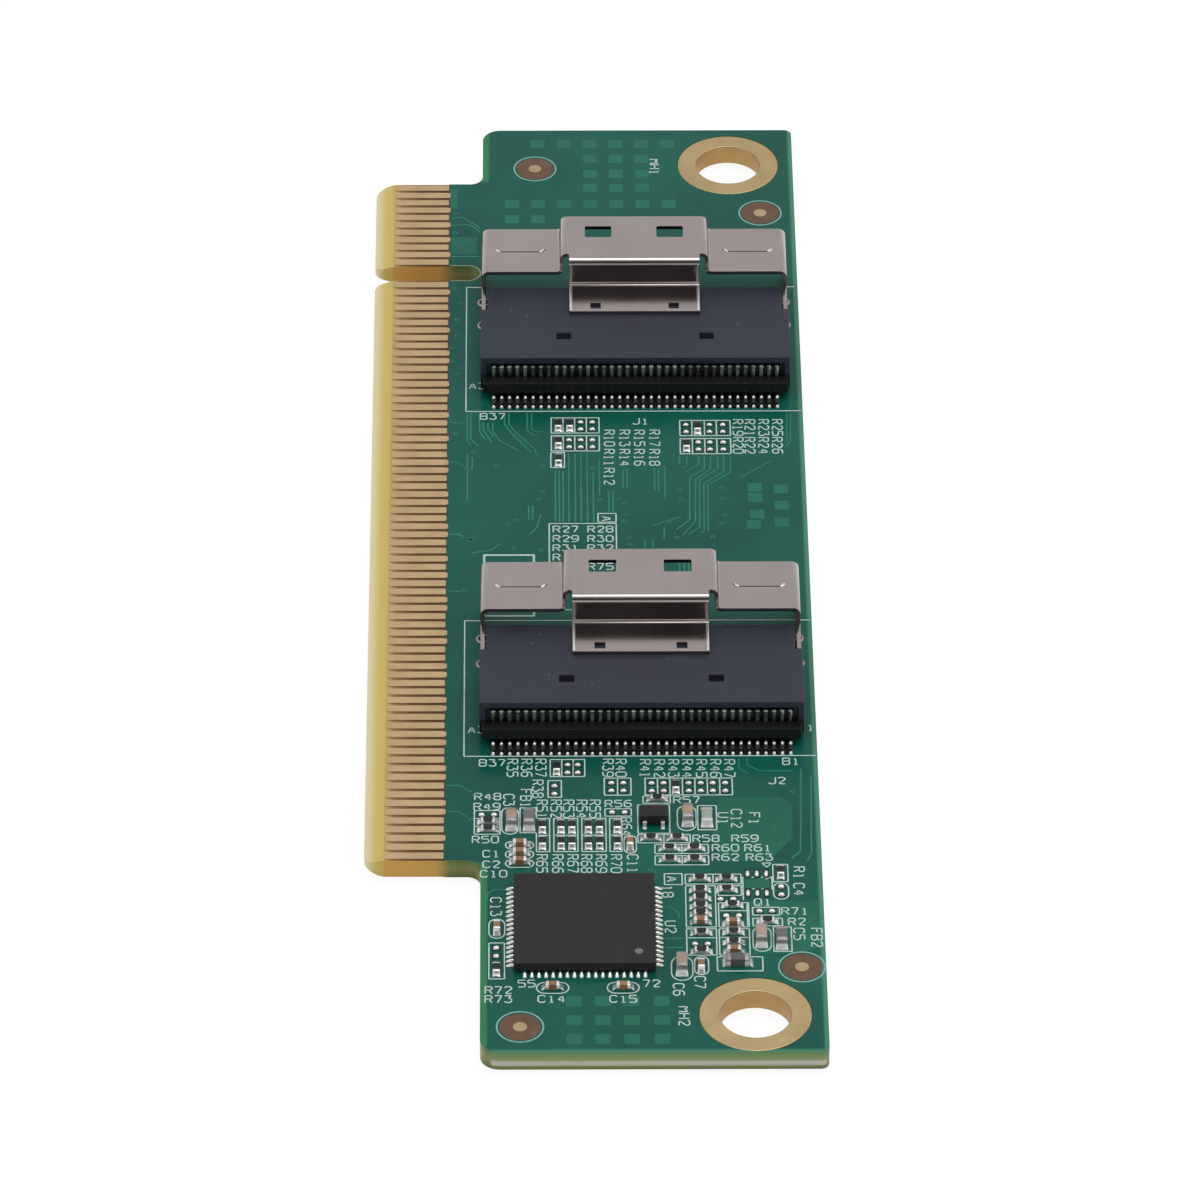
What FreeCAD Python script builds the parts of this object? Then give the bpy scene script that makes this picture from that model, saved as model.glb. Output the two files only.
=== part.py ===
import FreeCAD, Part
import math
import os

from FreeCAD import Vector

# All sizes are in millimetres. The layout frame has x = 0 on the card's left body edge, y = 0 at the
# centre of the key notch and z = 0 on the underside. The finished card is moved so that its origin is
# at the bottom centre of its box.

# Circuit board
board_thickness = 1.6
far_edge_from_key = 19.4
near_edge_from_feet = 33.2
right_margin = 0.93
left_corner_radius = 1.4
right_corner_radius = 0.6

# Edge tongue
contact_pitch = 1.0
short_group_count = 11
long_group_count = 71
key_gap = 3.0
contact_width = 0.7
contact_length = 4.2
contact_thickness = 0.05
contact_end_margin = 0.5
tongue_reach = 8.35
bevel_run = 1.4
bevel_rise = 0.45
bevel_to_contact = 0.1
tongue_corner_radius = 1.2
tongue_root_radius = 1.0
notch_width = 1.9
notch_end_land = 0.2
notch_mouth_radius = 0.7

# Plated mounting holes
hole_radius = 2.5
hole_ring_radius = 4.0
hole_from_right = 5.1
far_hole_from_edge = 4.8
near_hole_from_edge = 4.05

# Cable sockets, measured from the mouth of the shell
socket_centre = 11.7
far_mouth_from_key = 0.6
socket_spacing = 42.35
pin_count = 37
pin_pitch = 0.6
pin_width = 0.26
pin_thickness = 0.15

# Socket housing
housing_side_wall = 0.78
housing_height = 3.3
housing_depth = 9.2
slot_side_clearance = 0.09
slot_floor = 0.95
slot_height = 1.5
slot_depth = 7.4
floor_bar = 1.5
pocket_depth = 0.4
pocket_wall = 0.42
lip_height = 0.5
ledge_top = 1.45
ledge_underside = 0.55
ledge_reach = 0.8
ledge_inset = 0.2
contact_slit = 0.25
front_notch_gap = 0.15
core_pocket_size = (1.1, 0.85, 0.4)
core_pocket_spread = 10.9
core_pocket_from_rear = 2.45
lip_relief_height = 0.2

# Contacts
beam_front_gap = 0.5
knee_clearance = 0.05
lower_tip_rise = 0.3
tail_clearance = 0.1
foot_gap = 0.3
foot_length = 0.85

# Socket shell, one folded sheet
sheet = 0.3
bend_radius = 0.25
shell_side_play = 0.07
ear_height = 4.6
roof_height = 5.8
roof_width = 11.4
ear_depth = 5.65
rear_wall_behind_ears = 0.25
strap_width = 10.0
relief_width = 0.7
relief_depth = 0.35
flange_length = 3.7
wing_length = 3.0
wing_drop = 0.1
wall_lift = 0.1
window_size = (2.05, 1.45)
window_spread = 5.52
window_from_mouth = 1.3
lance_length = 3.2
lance_tick = 0.3
lance_cut = 0.1
lance_from_mouth = 3.0
flange_hole_size = (0.8, 0.75)
flange_hole_spread = 6.0
flange_hole_from_end = 0.35
leg_width = 0.9
leg_positions = (3.35, 6.35)
leg_clearance = 0.1
leg_end_lift = 0.1

# Clock chip, a square leadless package, measured from the near socket's feet
chip_size = 10.0
chip_height = 0.9
chip_lead_count = 18
chip_lead_pitch = 0.5
chip_lead_width = 0.28
chip_lead_height = 0.2
chip_lead_under = 0.4
chip_lead_out = 0.58
chip_pad_size = 6.0
chip_centre = (7.4, -19.6)

# Chip components: length, width, height and terminal length
resistor_size = (1.0, 0.5, 0.35, 0.25)
small_capacitor_size = (1.0, 0.5, 0.5, 0.22)
medium_capacitor_size = (1.6, 0.8, 0.8, 0.35)
dark_capacitor_size = (1.6, 0.8, 0.7, 0.3)
ferrite_bead_size = (1.6, 0.8, 0.75, 0.35)
fuse_size = (1.6, 0.8, 0.45, 0.35)
body_sink = 0.02
glaze_thickness = 0.03

# Small regulator with two leads in front and one behind
regulator_size = (2.0, 1.3, 0.8)
regulator_lift = 0.1
regulator_lead_width = 0.3
regulator_lead_thickness = 0.12
regulator_lead_pitch = 1.3
regulator_reach = 0.55
regulator_centre = (12.45, -7.5)

# Places behind the far socket, measured from its feet
left_bank = (5.79, -2.27)
right_bank = (15.5, -2.65)
bank_pitch = (0.87, 2.2)
left_bank_fitted = ((0, 0), (1, 0), (0, 1), (0, 2))
right_bank_fitted = ((1, 0), (0, 1))

# Places in the near field, measured from the near socket's feet
ladder_columns = (4.44, 5.78, 6.56, 7.74, 8.54, 9.81)
ladder_rows = (-8.28, -10.14)
upright_resistors = ((5.49, -1.6), (14.1, -3.74), (21.44, -13.5), (1.15, -24.23))
level_resistors = (
    (12.73, -5.16), (12.23, -9.67), (14.1, -9.67), (13.54, -10.84), (15.33, -10.84),
    (13.54, -12.1), (15.33, -12.1), (0.53, -7.75), (0.53, -8.63),
    (15.65, -14.28), (17.55, -14.28), (15.65, -15.52), (17.55, -15.52),
    (15.66, -16.46), (15.66, -17.36), (17.92, -17.25), (15.66, -18.2),
    (15.67, -20.3), (17.95, -20.26), (17.95, -21.36), (15.65, -22.33), (20.38, -19.04),
)
upright_small_capacitors = ((10.72, -10.3), (1.18, -19.74), (15.6, -24.0))
level_small_capacitors = (
    (2.81, -10.37), (2.81, -11.37), (2.81, -12.36), (15.64, -19.11), (17.94, -19.28),
    (17.96, -22.33), (5.11, -26.24), (10.09, -26.25),
)
upright_medium_capacitors = ((2.22, -7.68), (14.9, -7.26), (19.91, -20.85), (14.23, -23.94))
dark_capacitor_place = (18.18, -23.6)
ferrite_bead_places = ((3.48, -7.71), (21.34, -21.1))
fuse_place = (16.28, -7.33)

# Sizes that follow from those above
pin_row = (pin_count - 1) * pin_pitch
slot_half = pin_row / 2 + pin_width / 2 + slot_side_clearance
housing_half = slot_half + housing_side_wall
shell_half = housing_half - shell_side_play
body_width = socket_centre + housing_half + right_margin
tongue_length = (short_group_count + long_group_count - 2) * contact_pitch + key_gap + 2 * contact_end_margin
tongue_far = key_gap / 2 + (short_group_count - 1) * contact_pitch + contact_end_margin
tongue_near = tongue_far - tongue_length
contact_tip = -tongue_reach + bevel_run + bevel_to_contact
contact_root = contact_tip + contact_length
rear_wall_from_mouth = ear_depth + rear_wall_behind_ears
housing_rear = rear_wall_from_mouth + housing_depth
ledge_rear = housing_rear + ledge_reach
foot_toe = ledge_rear + foot_gap + foot_length
far_mouth = -far_mouth_from_key
near_mouth = far_mouth - socket_spacing
far_feet = far_mouth - foot_toe
near_feet = near_mouth - foot_toe
far_edge = far_edge_from_key
near_edge = near_feet - near_edge_from_feet
hole_x = body_width - hole_from_right
hole_places = ((hole_x, far_edge - far_hole_from_edge), (hole_x, near_edge + near_hole_from_edge))
top = board_thickness
card_middle = Vector((body_width - tongue_reach) / 2, (far_edge + near_edge) / 2, 0)


def block(low, high):
    """Box between two opposite corners."""
    size = [b - a for a, b in zip(low, high)]
    return Part.makeBox(*size, Vector(*low))


def corner_arc(before, corner, after, radius):
    """Tangent points and arc that round one corner of an outline."""
    to_before = (before - corner).normalize()
    to_after = (after - corner).normalize()
    half = to_before.getAngle(to_after) / 2
    start = corner + to_before * (radius / math.tan(half))
    end = corner + to_after * (radius / math.tan(half))
    inward = (to_before + to_after).normalize()
    middle = corner + inward * (radius / math.sin(half) - radius)
    return start, middle, end


def rounded_wire(corners):
    """Closed wire through (point, radius) corners, with each corner rounded."""
    count = len(corners)
    pieces = []
    for index, (point, radius) in enumerate(corners):
        before = corners[index - 1][0]
        after = corners[(index + 1) % count][0]
        pieces.append(corner_arc(before, point, after, radius) if radius > 0 else (point, None, point))
    edges = []
    for index, (start, middle, end) in enumerate(pieces):
        if middle is not None:
            edges.append(Part.Arc(start, middle, end).toShape())
        next_start = pieces[(index + 1) % count][0]
        if end.distanceToPoint(next_start) > 1e-6:
            edges.append(Part.LineSegment(end, next_start).toShape())
    return Part.Wire(edges)


def flat_prism(corners, low, high):
    """Upright prism over a rounded outline of (x, y, radius) corners."""
    wire = rounded_wire([(Vector(x, y, low), radius) for x, y, radius in corners])
    return Part.Face(wire).extrude(Vector(0, 0, high - low))


def offset_corner(before, point, after, side):
    """Corner of a path moved sideways by a distance, mitred."""
    first = (point - before).normalize() if before else (after - point).normalize()
    second = (after - point).normalize() if after else first
    normal_a = Vector(-first.y, first.x, 0)
    normal_b = Vector(-second.y, second.x, 0)
    mitre = (normal_a + normal_b).normalize()
    return point + mitre * (side / mitre.dot(normal_a))


def strip_corners(path, thickness, radius):
    """Closed outline of a strip that follows a path, with bends of one inner radius."""
    points = [Vector(u, v, 0) for u, v in path]
    last = len(points) - 1
    sides = []
    for side in (thickness / 2, -thickness / 2):
        run = []
        for index, point in enumerate(points):
            before = points[index - 1] if index > 0 else None
            after = points[index + 1] if index < last else None
            bend = 0
            if radius > 0 and before and after:
                turn = (point - before).cross(after - point).z
                bend = radius if turn * side > 0 else radius + thickness
            run.append((offset_corner(before, point, after, side), bend))
        sides.append(run)
    return sides[0] + sides[1][::-1]


def folded_strip(path, thickness, radius, place, sweep):
    """Strip of sheet bent along a path: place turns a path point into space, sweep gives its width."""
    corners = [(place(point.x, point.y), bend) for point, bend in strip_corners(path, thickness, radius)]
    return Part.Face(rounded_wire(corners)).extrude(sweep)


def board_outline():
    """Corners of the card, anticlockwise from the near left corner of the body."""
    notch = notch_width / 2
    notch_end = -notch_end_land
    return [
        (0, near_edge, left_corner_radius),
        (body_width, near_edge, right_corner_radius),
        (body_width, far_edge, right_corner_radius),
        (0, far_edge, left_corner_radius),
        (0, tongue_far, tongue_root_radius),
        (-tongue_reach, tongue_far, tongue_corner_radius),
        (-tongue_reach, notch, notch_mouth_radius),
        (notch_end, notch, notch),
        (notch_end, -notch, notch),
        (-tongue_reach, -notch, notch_mouth_radius),
        (-tongue_reach, tongue_near, tongue_corner_radius),
        (0, tongue_near, tongue_root_radius),
    ]


def board_section():
    """Prism along the card with the coat's step behind the contacts and the tongue's bevelled tip."""
    low = contact_thickness
    high = board_thickness - contact_thickness
    tip = -tongue_reach
    bevel_end = tip + bevel_run
    corners = [
        (tip, low + bevel_rise), (bevel_end, low), (contact_root, low), (contact_root, 0), (body_width, 0),
        (body_width, top), (contact_root, top), (contact_root, high), (bevel_end, high), (tip, high - bevel_rise),
    ]
    points = [Vector(x, near_edge, z) for x, z in corners]
    face = Part.Face(Part.makePolygon(points + points[:1]))
    return face.extrude(Vector(0, far_edge - near_edge, 0))


def leg_slots():
    """Slots through the board for the solder legs of both shells."""
    slots = []
    for mouth in (far_mouth, near_mouth):
        for side in (-1, 1):
            for back in leg_positions:
                inner = socket_centre + side * (shell_half - sheet - leg_clearance)
                outer = socket_centre + side * (shell_half + leg_clearance)
                half = leg_width / 2 + leg_clearance
                low = (min(inner, outer), mouth - back - half, 0)
                high = (max(inner, outer), mouth - back + half, board_thickness)
                slots.append(block(low, high))
    return slots


def mounting_cylinders(radius):
    """Upright cylinders through the board at the mounting holes."""
    return [Part.makeCylinder(radius, board_thickness, Vector(x, y, 0)) for x, y in hole_places]


def circuit_board():
    """Coated board with key notch, bevelled tongue, mounting holes and leg slots."""
    board = flat_prism(board_outline(), 0, board_thickness).common(board_section())
    return board.cut(mounting_cylinders(hole_ring_radius) + leg_slots())


def edge_contacts(low):
    """Both groups of gold contacts on one face of the tongue."""
    contacts = []
    for index in range(short_group_count):
        contacts.append(key_gap / 2 + index * contact_pitch)
    for index in range(long_group_count):
        contacts.append(-key_gap / 2 - index * contact_pitch)
    half = contact_width / 2
    return [
        block((contact_tip, y - half, low), (contact_root, y + half, low + contact_thickness))
        for y in contacts
    ]


def mounting_hole_plating():
    """Plated lands of the mounting holes, flush with both faces of the board."""
    section = [(hole_radius, 0), (hole_ring_radius, 0), (hole_ring_radius, top), (hole_radius, top)]
    points = [Vector(radius, 0, z) for radius, z in section]
    face = Part.Face(Part.makePolygon(points + points[:1]))
    land = face.revolve(Vector(0, 0, 0), Vector(0, 0, 1), 360)
    return [land.translated(Vector(x, y, 0)) for x, y in hole_places]


def housing_block():
    """Outer form of a housing: one side profile swept across, narrowed in front for the shell's wings."""
    front = -rear_wall_from_mouth
    rear = -housing_rear
    foot_line = rear + pocket_depth + contact_slit
    profile = [
        (front, 0), (front, housing_height), (rear, housing_height), (rear, ledge_underside),
        (foot_line, ledge_underside), (foot_line, 0),
    ]
    points = [Vector(-housing_half, y, z) for y, z in profile]
    body = Part.Face(Part.makePolygon(points + points[:1])).extrude(Vector(2 * housing_half, 0, 0))
    ledge_half = housing_half - ledge_inset
    ledge = block((-ledge_half, -ledge_rear, ledge_underside), (ledge_half, rear, ledge_top))
    return body.fuse(ledge)


def housing_cuts():
    """Card slot, contact slits, rear pocket, core pockets and wing notches of a housing."""
    front = -rear_wall_from_mouth
    rear = -housing_rear
    slot_top = slot_floor + slot_height
    slot_back = front - slot_depth
    pocket_front = rear + pocket_depth
    lip_bottom = housing_height - lip_height
    pocket_half = housing_half - pocket_wall
    notch_inner = shell_half - sheet - front_notch_gap
    notch_back = -ear_depth - wing_length - front_notch_gap
    cuts = [
        block((-slot_half, slot_back, slot_floor), (slot_half, front, slot_top)),
        block((-slot_half, pocket_front, slot_top - contact_slit), (slot_half, slot_back, slot_top)),
        block((-slot_half, slot_back, 0), (slot_half, front - floor_bar, slot_floor)),
        block((-pocket_half, rear, ledge_top), (pocket_half, pocket_front, lip_bottom)),
        block((-slot_half, pocket_front - contact_slit, ledge_underside), (slot_half, pocket_front, ledge_top)),
    ]
    size_x, size_y, size_z = core_pocket_size
    for side in (-1, 1):
        middle = side * core_pocket_spread / 2
        low_y = rear + core_pocket_from_rear
        left = middle - size_x / 2
        right = middle + size_x / 2
        cuts.append(block((left, low_y, housing_height - size_z), (right, low_y + size_y, housing_height)))
        cuts.append(block((left, rear, lip_bottom), (right, rear + pocket_depth, lip_bottom + lip_relief_height)))
        inner = side * notch_inner
        outer = side * housing_half
        low = (min(inner, outer), notch_back, 0)
        cuts.append(block(low, (max(inner, outer), front, housing_height)))
    return cuts


def socket_housing():
    """Moulded housing, with its origin on the board under the mouth of the shell."""
    return housing_block().cut(housing_cuts()).removeSplitter()


def pin_columns():
    """Positions of the contacts across a socket."""
    return [index * pin_pitch - pin_row / 2 for index in range(pin_count)]


def contact_row(path):
    """One bent contact in every column of a socket."""
    def place(y, z):
        return Vector(-pin_width / 2, y, z)
    contact = folded_strip(path, pin_thickness, 0, place, Vector(pin_width, 0, 0))
    return [contact.translated(Vector(x, 0, 0)) for x in pin_columns()]


def upper_contacts():
    """Contacts along the slot roof, down behind the rear pocket and out to gull-wing feet."""
    half = pin_thickness / 2
    beam_z = slot_floor + slot_height - contact_slit / 2
    tip_y = -rear_wall_from_mouth - beam_front_gap
    drop_y = -housing_rear + pocket_depth - contact_slit / 2
    knee_z = ledge_underside - knee_clearance - half
    return contact_row([(tip_y, beam_z), (drop_y, beam_z), (drop_y, knee_z), (-foot_toe, half)])


def lower_contacts():
    """Contacts that spring up from the board into the slot."""
    half = pin_thickness / 2
    tail_y = -rear_wall_from_mouth - slot_depth + tail_clearance
    tip_y = -rear_wall_from_mouth - beam_front_gap
    return contact_row([(tip_y, slot_floor + lower_tip_rise), (tail_y, half)])


def shell_hat():
    """Roof, ears and side walls: one section folded across the socket."""
    half_sheet = sheet / 2
    wall = shell_half - half_sheet
    jog = roof_width / 2 - half_sheet
    ear = ear_height - half_sheet
    roof = roof_height - half_sheet
    path = [
        (-wall, wall_lift), (-wall, ear), (-jog, ear), (-jog, roof),
        (jog, roof), (jog, ear), (wall, ear), (wall, wall_lift),
    ]

    def place(x, z):
        return Vector(x, -ear_depth, z)
    return folded_strip(path, sheet, bend_radius, place, Vector(0, ear_depth, 0))


def shell_strap():
    """Rear wall and flange: a strap folded down from the roof and out over the housing."""
    half_sheet = sheet / 2
    start = -ear_depth + relief_depth
    wall = -rear_wall_from_mouth + half_sheet
    roof = roof_height - half_sheet
    flange = housing_height + half_sheet
    path = [(start, roof), (wall, roof), (wall, flange), (wall - flange_length, flange)]

    def place(y, z):
        return Vector(-strap_width / 2, y, z)
    return folded_strip(path, sheet, bend_radius, place, Vector(strap_width, 0, 0))


def lance_cut_prism(middle):
    """Slit with two slanted ends that frees a grounding finger in an ear."""
    half = lance_length / 2
    tick = lance_tick
    y = -lance_from_mouth
    path = [
        (middle - half - tick, y + tick), (middle - half, y), (middle + half, y), (middle + half + tick, y + tick),
    ]

    def place(x, along):
        return Vector(x, along, ear_height - sheet)
    return folded_strip(path, lance_cut, 0, place, Vector(0, 0, sheet))


def shell_openings():
    """Latch windows, relief notches, lance slits and flange holes."""
    cuts = []
    roof_low = ear_height
    window_x, window_y = window_size
    hole_x_size, hole_y_size = flange_hole_size
    relief_end = -ear_depth + relief_depth
    flange_end = -rear_wall_from_mouth + sheet / 2 - flange_length
    ear_middle = (roof_width / 2 + shell_half) / 2
    cuts.append(block(
        (-strap_width / 2 - relief_width, -ear_depth, roof_low),
        (strap_width / 2 + relief_width, relief_end, roof_height)))
    for side in (-1, 1):
        middle = side * window_spread / 2
        cuts.append(block(
            (middle - window_x / 2, -window_from_mouth - window_y, roof_low),
            (middle + window_x / 2, -window_from_mouth, roof_height)))
        strap_edge = side * strap_width / 2
        relief_edge = side * (strap_width / 2 + relief_width)
        cuts.append(block(
            (min(strap_edge, relief_edge), -ear_depth, roof_low),
            (max(strap_edge, relief_edge), relief_end + relief_width / 2, roof_height)))
        cuts.append(lance_cut_prism(side * ear_middle))
    return cuts, flange_end, hole_x_size, hole_y_size


def shell_side(side):
    """Wing along the housing and two solder legs on one side wall."""
    inner = side * (shell_half - sheet)
    outer = side * shell_half
    low_x = min(inner, outer)
    high_x = max(inner, outer)
    wing_top = housing_height - wing_drop
    pieces = [block((low_x, -ear_depth - wing_length, wall_lift), (high_x, -ear_depth, wing_top))]
    for back in leg_positions:
        low = (low_x, -back - leg_width / 2, leg_end_lift - board_thickness)
        pieces.append(block(low, (high_x, -back + leg_width / 2, wall_lift)))
    return pieces


def socket_shell():
    """Folded shell, with its origin on the board under its mouth."""
    cuts, flange_end, hole_x_size, hole_y_size = shell_openings()
    shell = shell_hat().cut(cuts)
    strap = shell_strap()
    holes = []
    for side in (-1, 1):
        middle = side * flange_hole_spread / 2
        low_y = flange_end + flange_hole_from_end
        holes.append(block(
            (middle - hole_x_size / 2, low_y, housing_height),
            (middle + hole_x_size / 2, low_y + hole_y_size, housing_height + sheet)))
    strap = strap.cut(holes)
    return shell.fuse([strap] + shell_side(-1) + shell_side(1)).removeSplitter()


def clock_chip_leads():
    """Leads along all four sides of the chip."""
    row = (chip_lead_count - 1) * chip_lead_pitch
    inner = chip_size / 2 - chip_lead_under
    outer = chip_size / 2 + chip_lead_out
    leads = []
    for index in range(chip_lead_count):
        along = index * chip_lead_pitch - row / 2
        lead = block((inner, along - chip_lead_width / 2, 0), (outer, along + chip_lead_width / 2, chip_lead_height))
        for quarter in range(4):
            leads.append(lead.rotated(Vector(0, 0, 0), Vector(0, 0, 1), quarter * 90))
    return leads


def clock_chip_body():
    """Square moulded package that stands on its leads and thermal pad."""
    half = chip_size / 2
    return block((-half, -half, chip_lead_height), (half, half, chip_height))


def clock_chip_thermal_pad():
    """Square pad under the middle of the chip."""
    half = chip_pad_size / 2
    return block((-half, -half, 0), (half, half, chip_lead_height))


def capped_part(size):
    """Body and two end terminals of a chip component centred on its footprint."""
    length, width, height, terminal = size
    half = length / 2
    body = block((-half + terminal, -width / 2, 0), (half - terminal, width / 2, height - body_sink))
    ends = [
        block((-half, -width / 2, 0), (-half + terminal, width / 2, height)),
        block((half - terminal, -width / 2, 0), (half, width / 2, height)),
    ]
    return [body], ends


def glazed_part(size):
    """Ceramic and black top glaze of a chip resistor centred on its footprint."""
    length, width, height, terminal = size
    half = length / 2
    ceramic_top = height - glaze_thickness
    ceramic = block((-half, -width / 2, 0), (half, width / 2, ceramic_top))
    glaze = block((-half + terminal, -width / 2, ceramic_top), (half - terminal, width / 2, height))
    return [ceramic], [glaze]


def chip_parts(make, size, upright, level):
    """Every chip component of one size: its bodies, and its terminals or glazes."""
    groups = ([], [])
    axis = Vector(0, 0, 1)
    origin = Vector(0, 0, 0)
    for places, turn in ((upright, 90), (level, 0)):
        for x, y in places:
            shift = Vector(x, near_feet + y, top)
            for group, solids in zip(groups, make(size)):
                group.extend(solid.rotated(origin, axis, turn).translated(shift) for solid in solids)
    return groups


def bank_places(corner, fitted):
    """Centres of the fitted resistors of a bank behind the far socket, from the near field's datum."""
    shift = far_feet - near_feet
    return [
        (corner[0] + column * bank_pitch[0], corner[1] - row * bank_pitch[1] + shift)
        for column, row in fitted
    ]


def resistor_places():
    """Centres of the resistors whose length runs along the card."""
    ladder = [(x, y) for y in ladder_rows for x in ladder_columns]
    banks = bank_places(left_bank, left_bank_fitted) + bank_places(right_bank, right_bank_fitted)
    return list(upright_resistors) + ladder + banks


def regulator_leads():
    """Gull-wing leads: two in front and one behind."""
    length, width, height = regulator_size
    half = regulator_lead_thickness / 2
    shoulder = regulator_lift + height / 2
    edge = width / 2
    toe = edge + regulator_reach
    knee = edge + regulator_reach / 2
    path = [(edge, shoulder), (knee, shoulder), (knee, half), (toe, half)]

    def place(y, z):
        return Vector(-regulator_lead_width / 2, y, z)
    lead = folded_strip(path, regulator_lead_thickness, 0, place, Vector(regulator_lead_width, 0, 0))
    front = lead.rotated(Vector(0, 0, 0), Vector(0, 0, 1), 180)
    spread = Vector(regulator_lead_pitch / 2, 0, 0)
    return [lead, front.translated(spread), front.translated(spread * -1)]


def regulator_body():
    """Small moulded package, raised on its leads."""
    length, width, height = regulator_size
    return block((-length / 2, -width / 2, regulator_lift), (length / 2, width / 2, regulator_lift + height))


def write(name, solids):
    """Move solids into the card's frame and save them as one node."""
    group = solids if isinstance(solids, list) else [solids]
    Part.makeCompound(group).translated(card_middle * -1).exportStep(f"parts/{name}.step")


def placed(solids, x, y):
    """Solids moved from their own origin to a place on top of the board."""
    group = solids if isinstance(solids, list) else [solids]
    return [solid.translated(Vector(x, y, top)) for solid in group]


def write_board():
    """Save the board and its copper."""
    write("circuit_board", circuit_board())
    write("edge_contacts_top", edge_contacts(top - contact_thickness))
    write("edge_contacts_bottom", edge_contacts(0))
    write("mounting_hole_plating", mounting_hole_plating())


def write_sockets():
    """Save both cable sockets."""
    for name, mouth in (("far_socket", far_mouth), ("near_socket", near_mouth)):
        write(f"{name}_shell", placed(socket_shell(), socket_centre, mouth))
        write(f"{name}_housing", placed(socket_housing(), socket_centre, mouth))
        write(f"{name}_upper_contacts", placed(upper_contacts(), socket_centre, mouth))
        write(f"{name}_lower_contacts", placed(lower_contacts(), socket_centre, mouth))


def write_chip():
    """Save the clock chip and the regulator."""
    x, y = chip_centre
    write("clock_chip_body", placed(clock_chip_body(), x, near_feet + y))
    write("clock_chip_leads", placed(clock_chip_leads(), x, near_feet + y))
    write("clock_chip_thermal_pad", placed(clock_chip_thermal_pad(), x, near_feet + y))
    x, y = regulator_centre
    write("regulator_body", placed(regulator_body(), x, near_feet + y))
    write("regulator_leads", placed(regulator_leads(), x, near_feet + y))


def write_chip_components():
    """Save the chip resistors, capacitors, beads and fuse."""
    kinds = (
        ("resistor_bodies", "resistor_glazes", glazed_part, resistor_size, resistor_places(), level_resistors),
        ("small_capacitor_bodies", "small_capacitor_terminals", capped_part, small_capacitor_size,
         upright_small_capacitors, level_small_capacitors),
        ("medium_capacitor_bodies", "medium_capacitor_terminals", capped_part, medium_capacitor_size,
         upright_medium_capacitors, ()),
        ("dark_capacitor_body", "dark_capacitor_terminals", capped_part, dark_capacitor_size,
         (), (dark_capacitor_place,)),
        ("ferrite_bead_bodies", "ferrite_bead_terminals", capped_part, ferrite_bead_size, ferrite_bead_places, ()),
        ("fuse_body", "fuse_terminals", capped_part, fuse_size, (fuse_place,), ()),
    )
    for body_name, trim_name, make, size, upright, level in kinds:
        bodies, trims = chip_parts(make, size, upright, level)
        write(body_name, bodies)
        write(trim_name, trims)


os.makedirs("parts", exist_ok=True)
write_board()
write_sockets()
write_chip()
write_chip_components()
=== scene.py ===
"""Dress a flat adapter card: board print, solder, sockets, chip parts, finishes, light and camera."""

import logging
import math
from dataclasses import dataclass, replace
from enum import Enum
from functools import cache
from typing import Any, ClassVar, Iterable, Sequence

import bmesh
import bpy
from mathutils import Matrix, Vector


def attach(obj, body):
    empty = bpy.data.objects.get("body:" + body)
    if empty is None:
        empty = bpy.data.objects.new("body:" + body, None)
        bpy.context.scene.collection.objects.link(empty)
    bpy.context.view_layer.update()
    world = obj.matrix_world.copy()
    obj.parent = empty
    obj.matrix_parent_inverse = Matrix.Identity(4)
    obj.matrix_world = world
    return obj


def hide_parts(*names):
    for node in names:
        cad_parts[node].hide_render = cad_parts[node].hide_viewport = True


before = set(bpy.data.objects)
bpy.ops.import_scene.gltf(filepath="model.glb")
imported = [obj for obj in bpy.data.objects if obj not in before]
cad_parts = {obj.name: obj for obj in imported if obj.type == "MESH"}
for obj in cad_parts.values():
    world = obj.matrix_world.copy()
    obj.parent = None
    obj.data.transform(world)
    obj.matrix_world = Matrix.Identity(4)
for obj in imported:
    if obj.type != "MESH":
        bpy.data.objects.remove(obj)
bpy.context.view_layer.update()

LOG = logging.getLogger("adapter_card")
MM = 0.001
# Layout millimetres start at the body's left edge, the middle of the key notch and the underside.
CARD_MIDDLE = (8.04, -36.9)
COAT_TOP = 1.6
# What lies on the coat reaches this far into it.
SINK = 0.006
FULL_SIZE = (1.0, 1.0, 1.0)
SIDES = (-1, 1)
# Layout y of each cable socket's mouth.
SOCKET_MOUTHS = {"far_socket": -0.6, "near_socket": -42.95}

Point = tuple[float, float]
Place = tuple[float, float, float]
Box = tuple[float, float, float, float]
Level = tuple[float, float, float, float]
Tone = tuple[float, float, float, float]
Bands = Sequence[tuple[float, Tone]]
Shell = tuple[list[Vector], list[tuple[int, ...]]]
Points = tuple[Point, ...]
Rings = tuple[Level, ...]
Piece = bpy.types.Object
Mesh = bpy.types.Mesh
Tree = bpy.types.NodeTree
Socket = bpy.types.NodeSocket


class Reading(Enum):
    """Direction in which a label reads."""

    ACROSS = 0.0
    ALONG = -math.pi / 2


class Lie(Enum):
    """Direction of a chip part's length."""

    ACROSS = 0.0
    ALONG = math.pi / 2


class Layer(Enum):
    """How far a printed or soldered layer stands above the coat, in millimetres."""

    POUR = 0.005
    TRACE = 0.009
    INK = 0.014
    FINE_INK = 0.016
    WORDS = 0.018
    LAND = 0.021


class Way(Enum):
    """Axis of the card, with the layout place of the frame's origin on it."""

    ACROSS = ((1.0, 0.0, 0.0), CARD_MIDDLE[0])
    ALONG = ((0.0, 1.0, 0.0), CARD_MIDDLE[1])
    UP = ((0.0, 0.0, 1.0), 0.0)


class Facing(Enum):
    """How a swept strip lies along its path."""

    LEVEL = "Z_UP"
    SIDEWAYS = "FREE"


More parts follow.
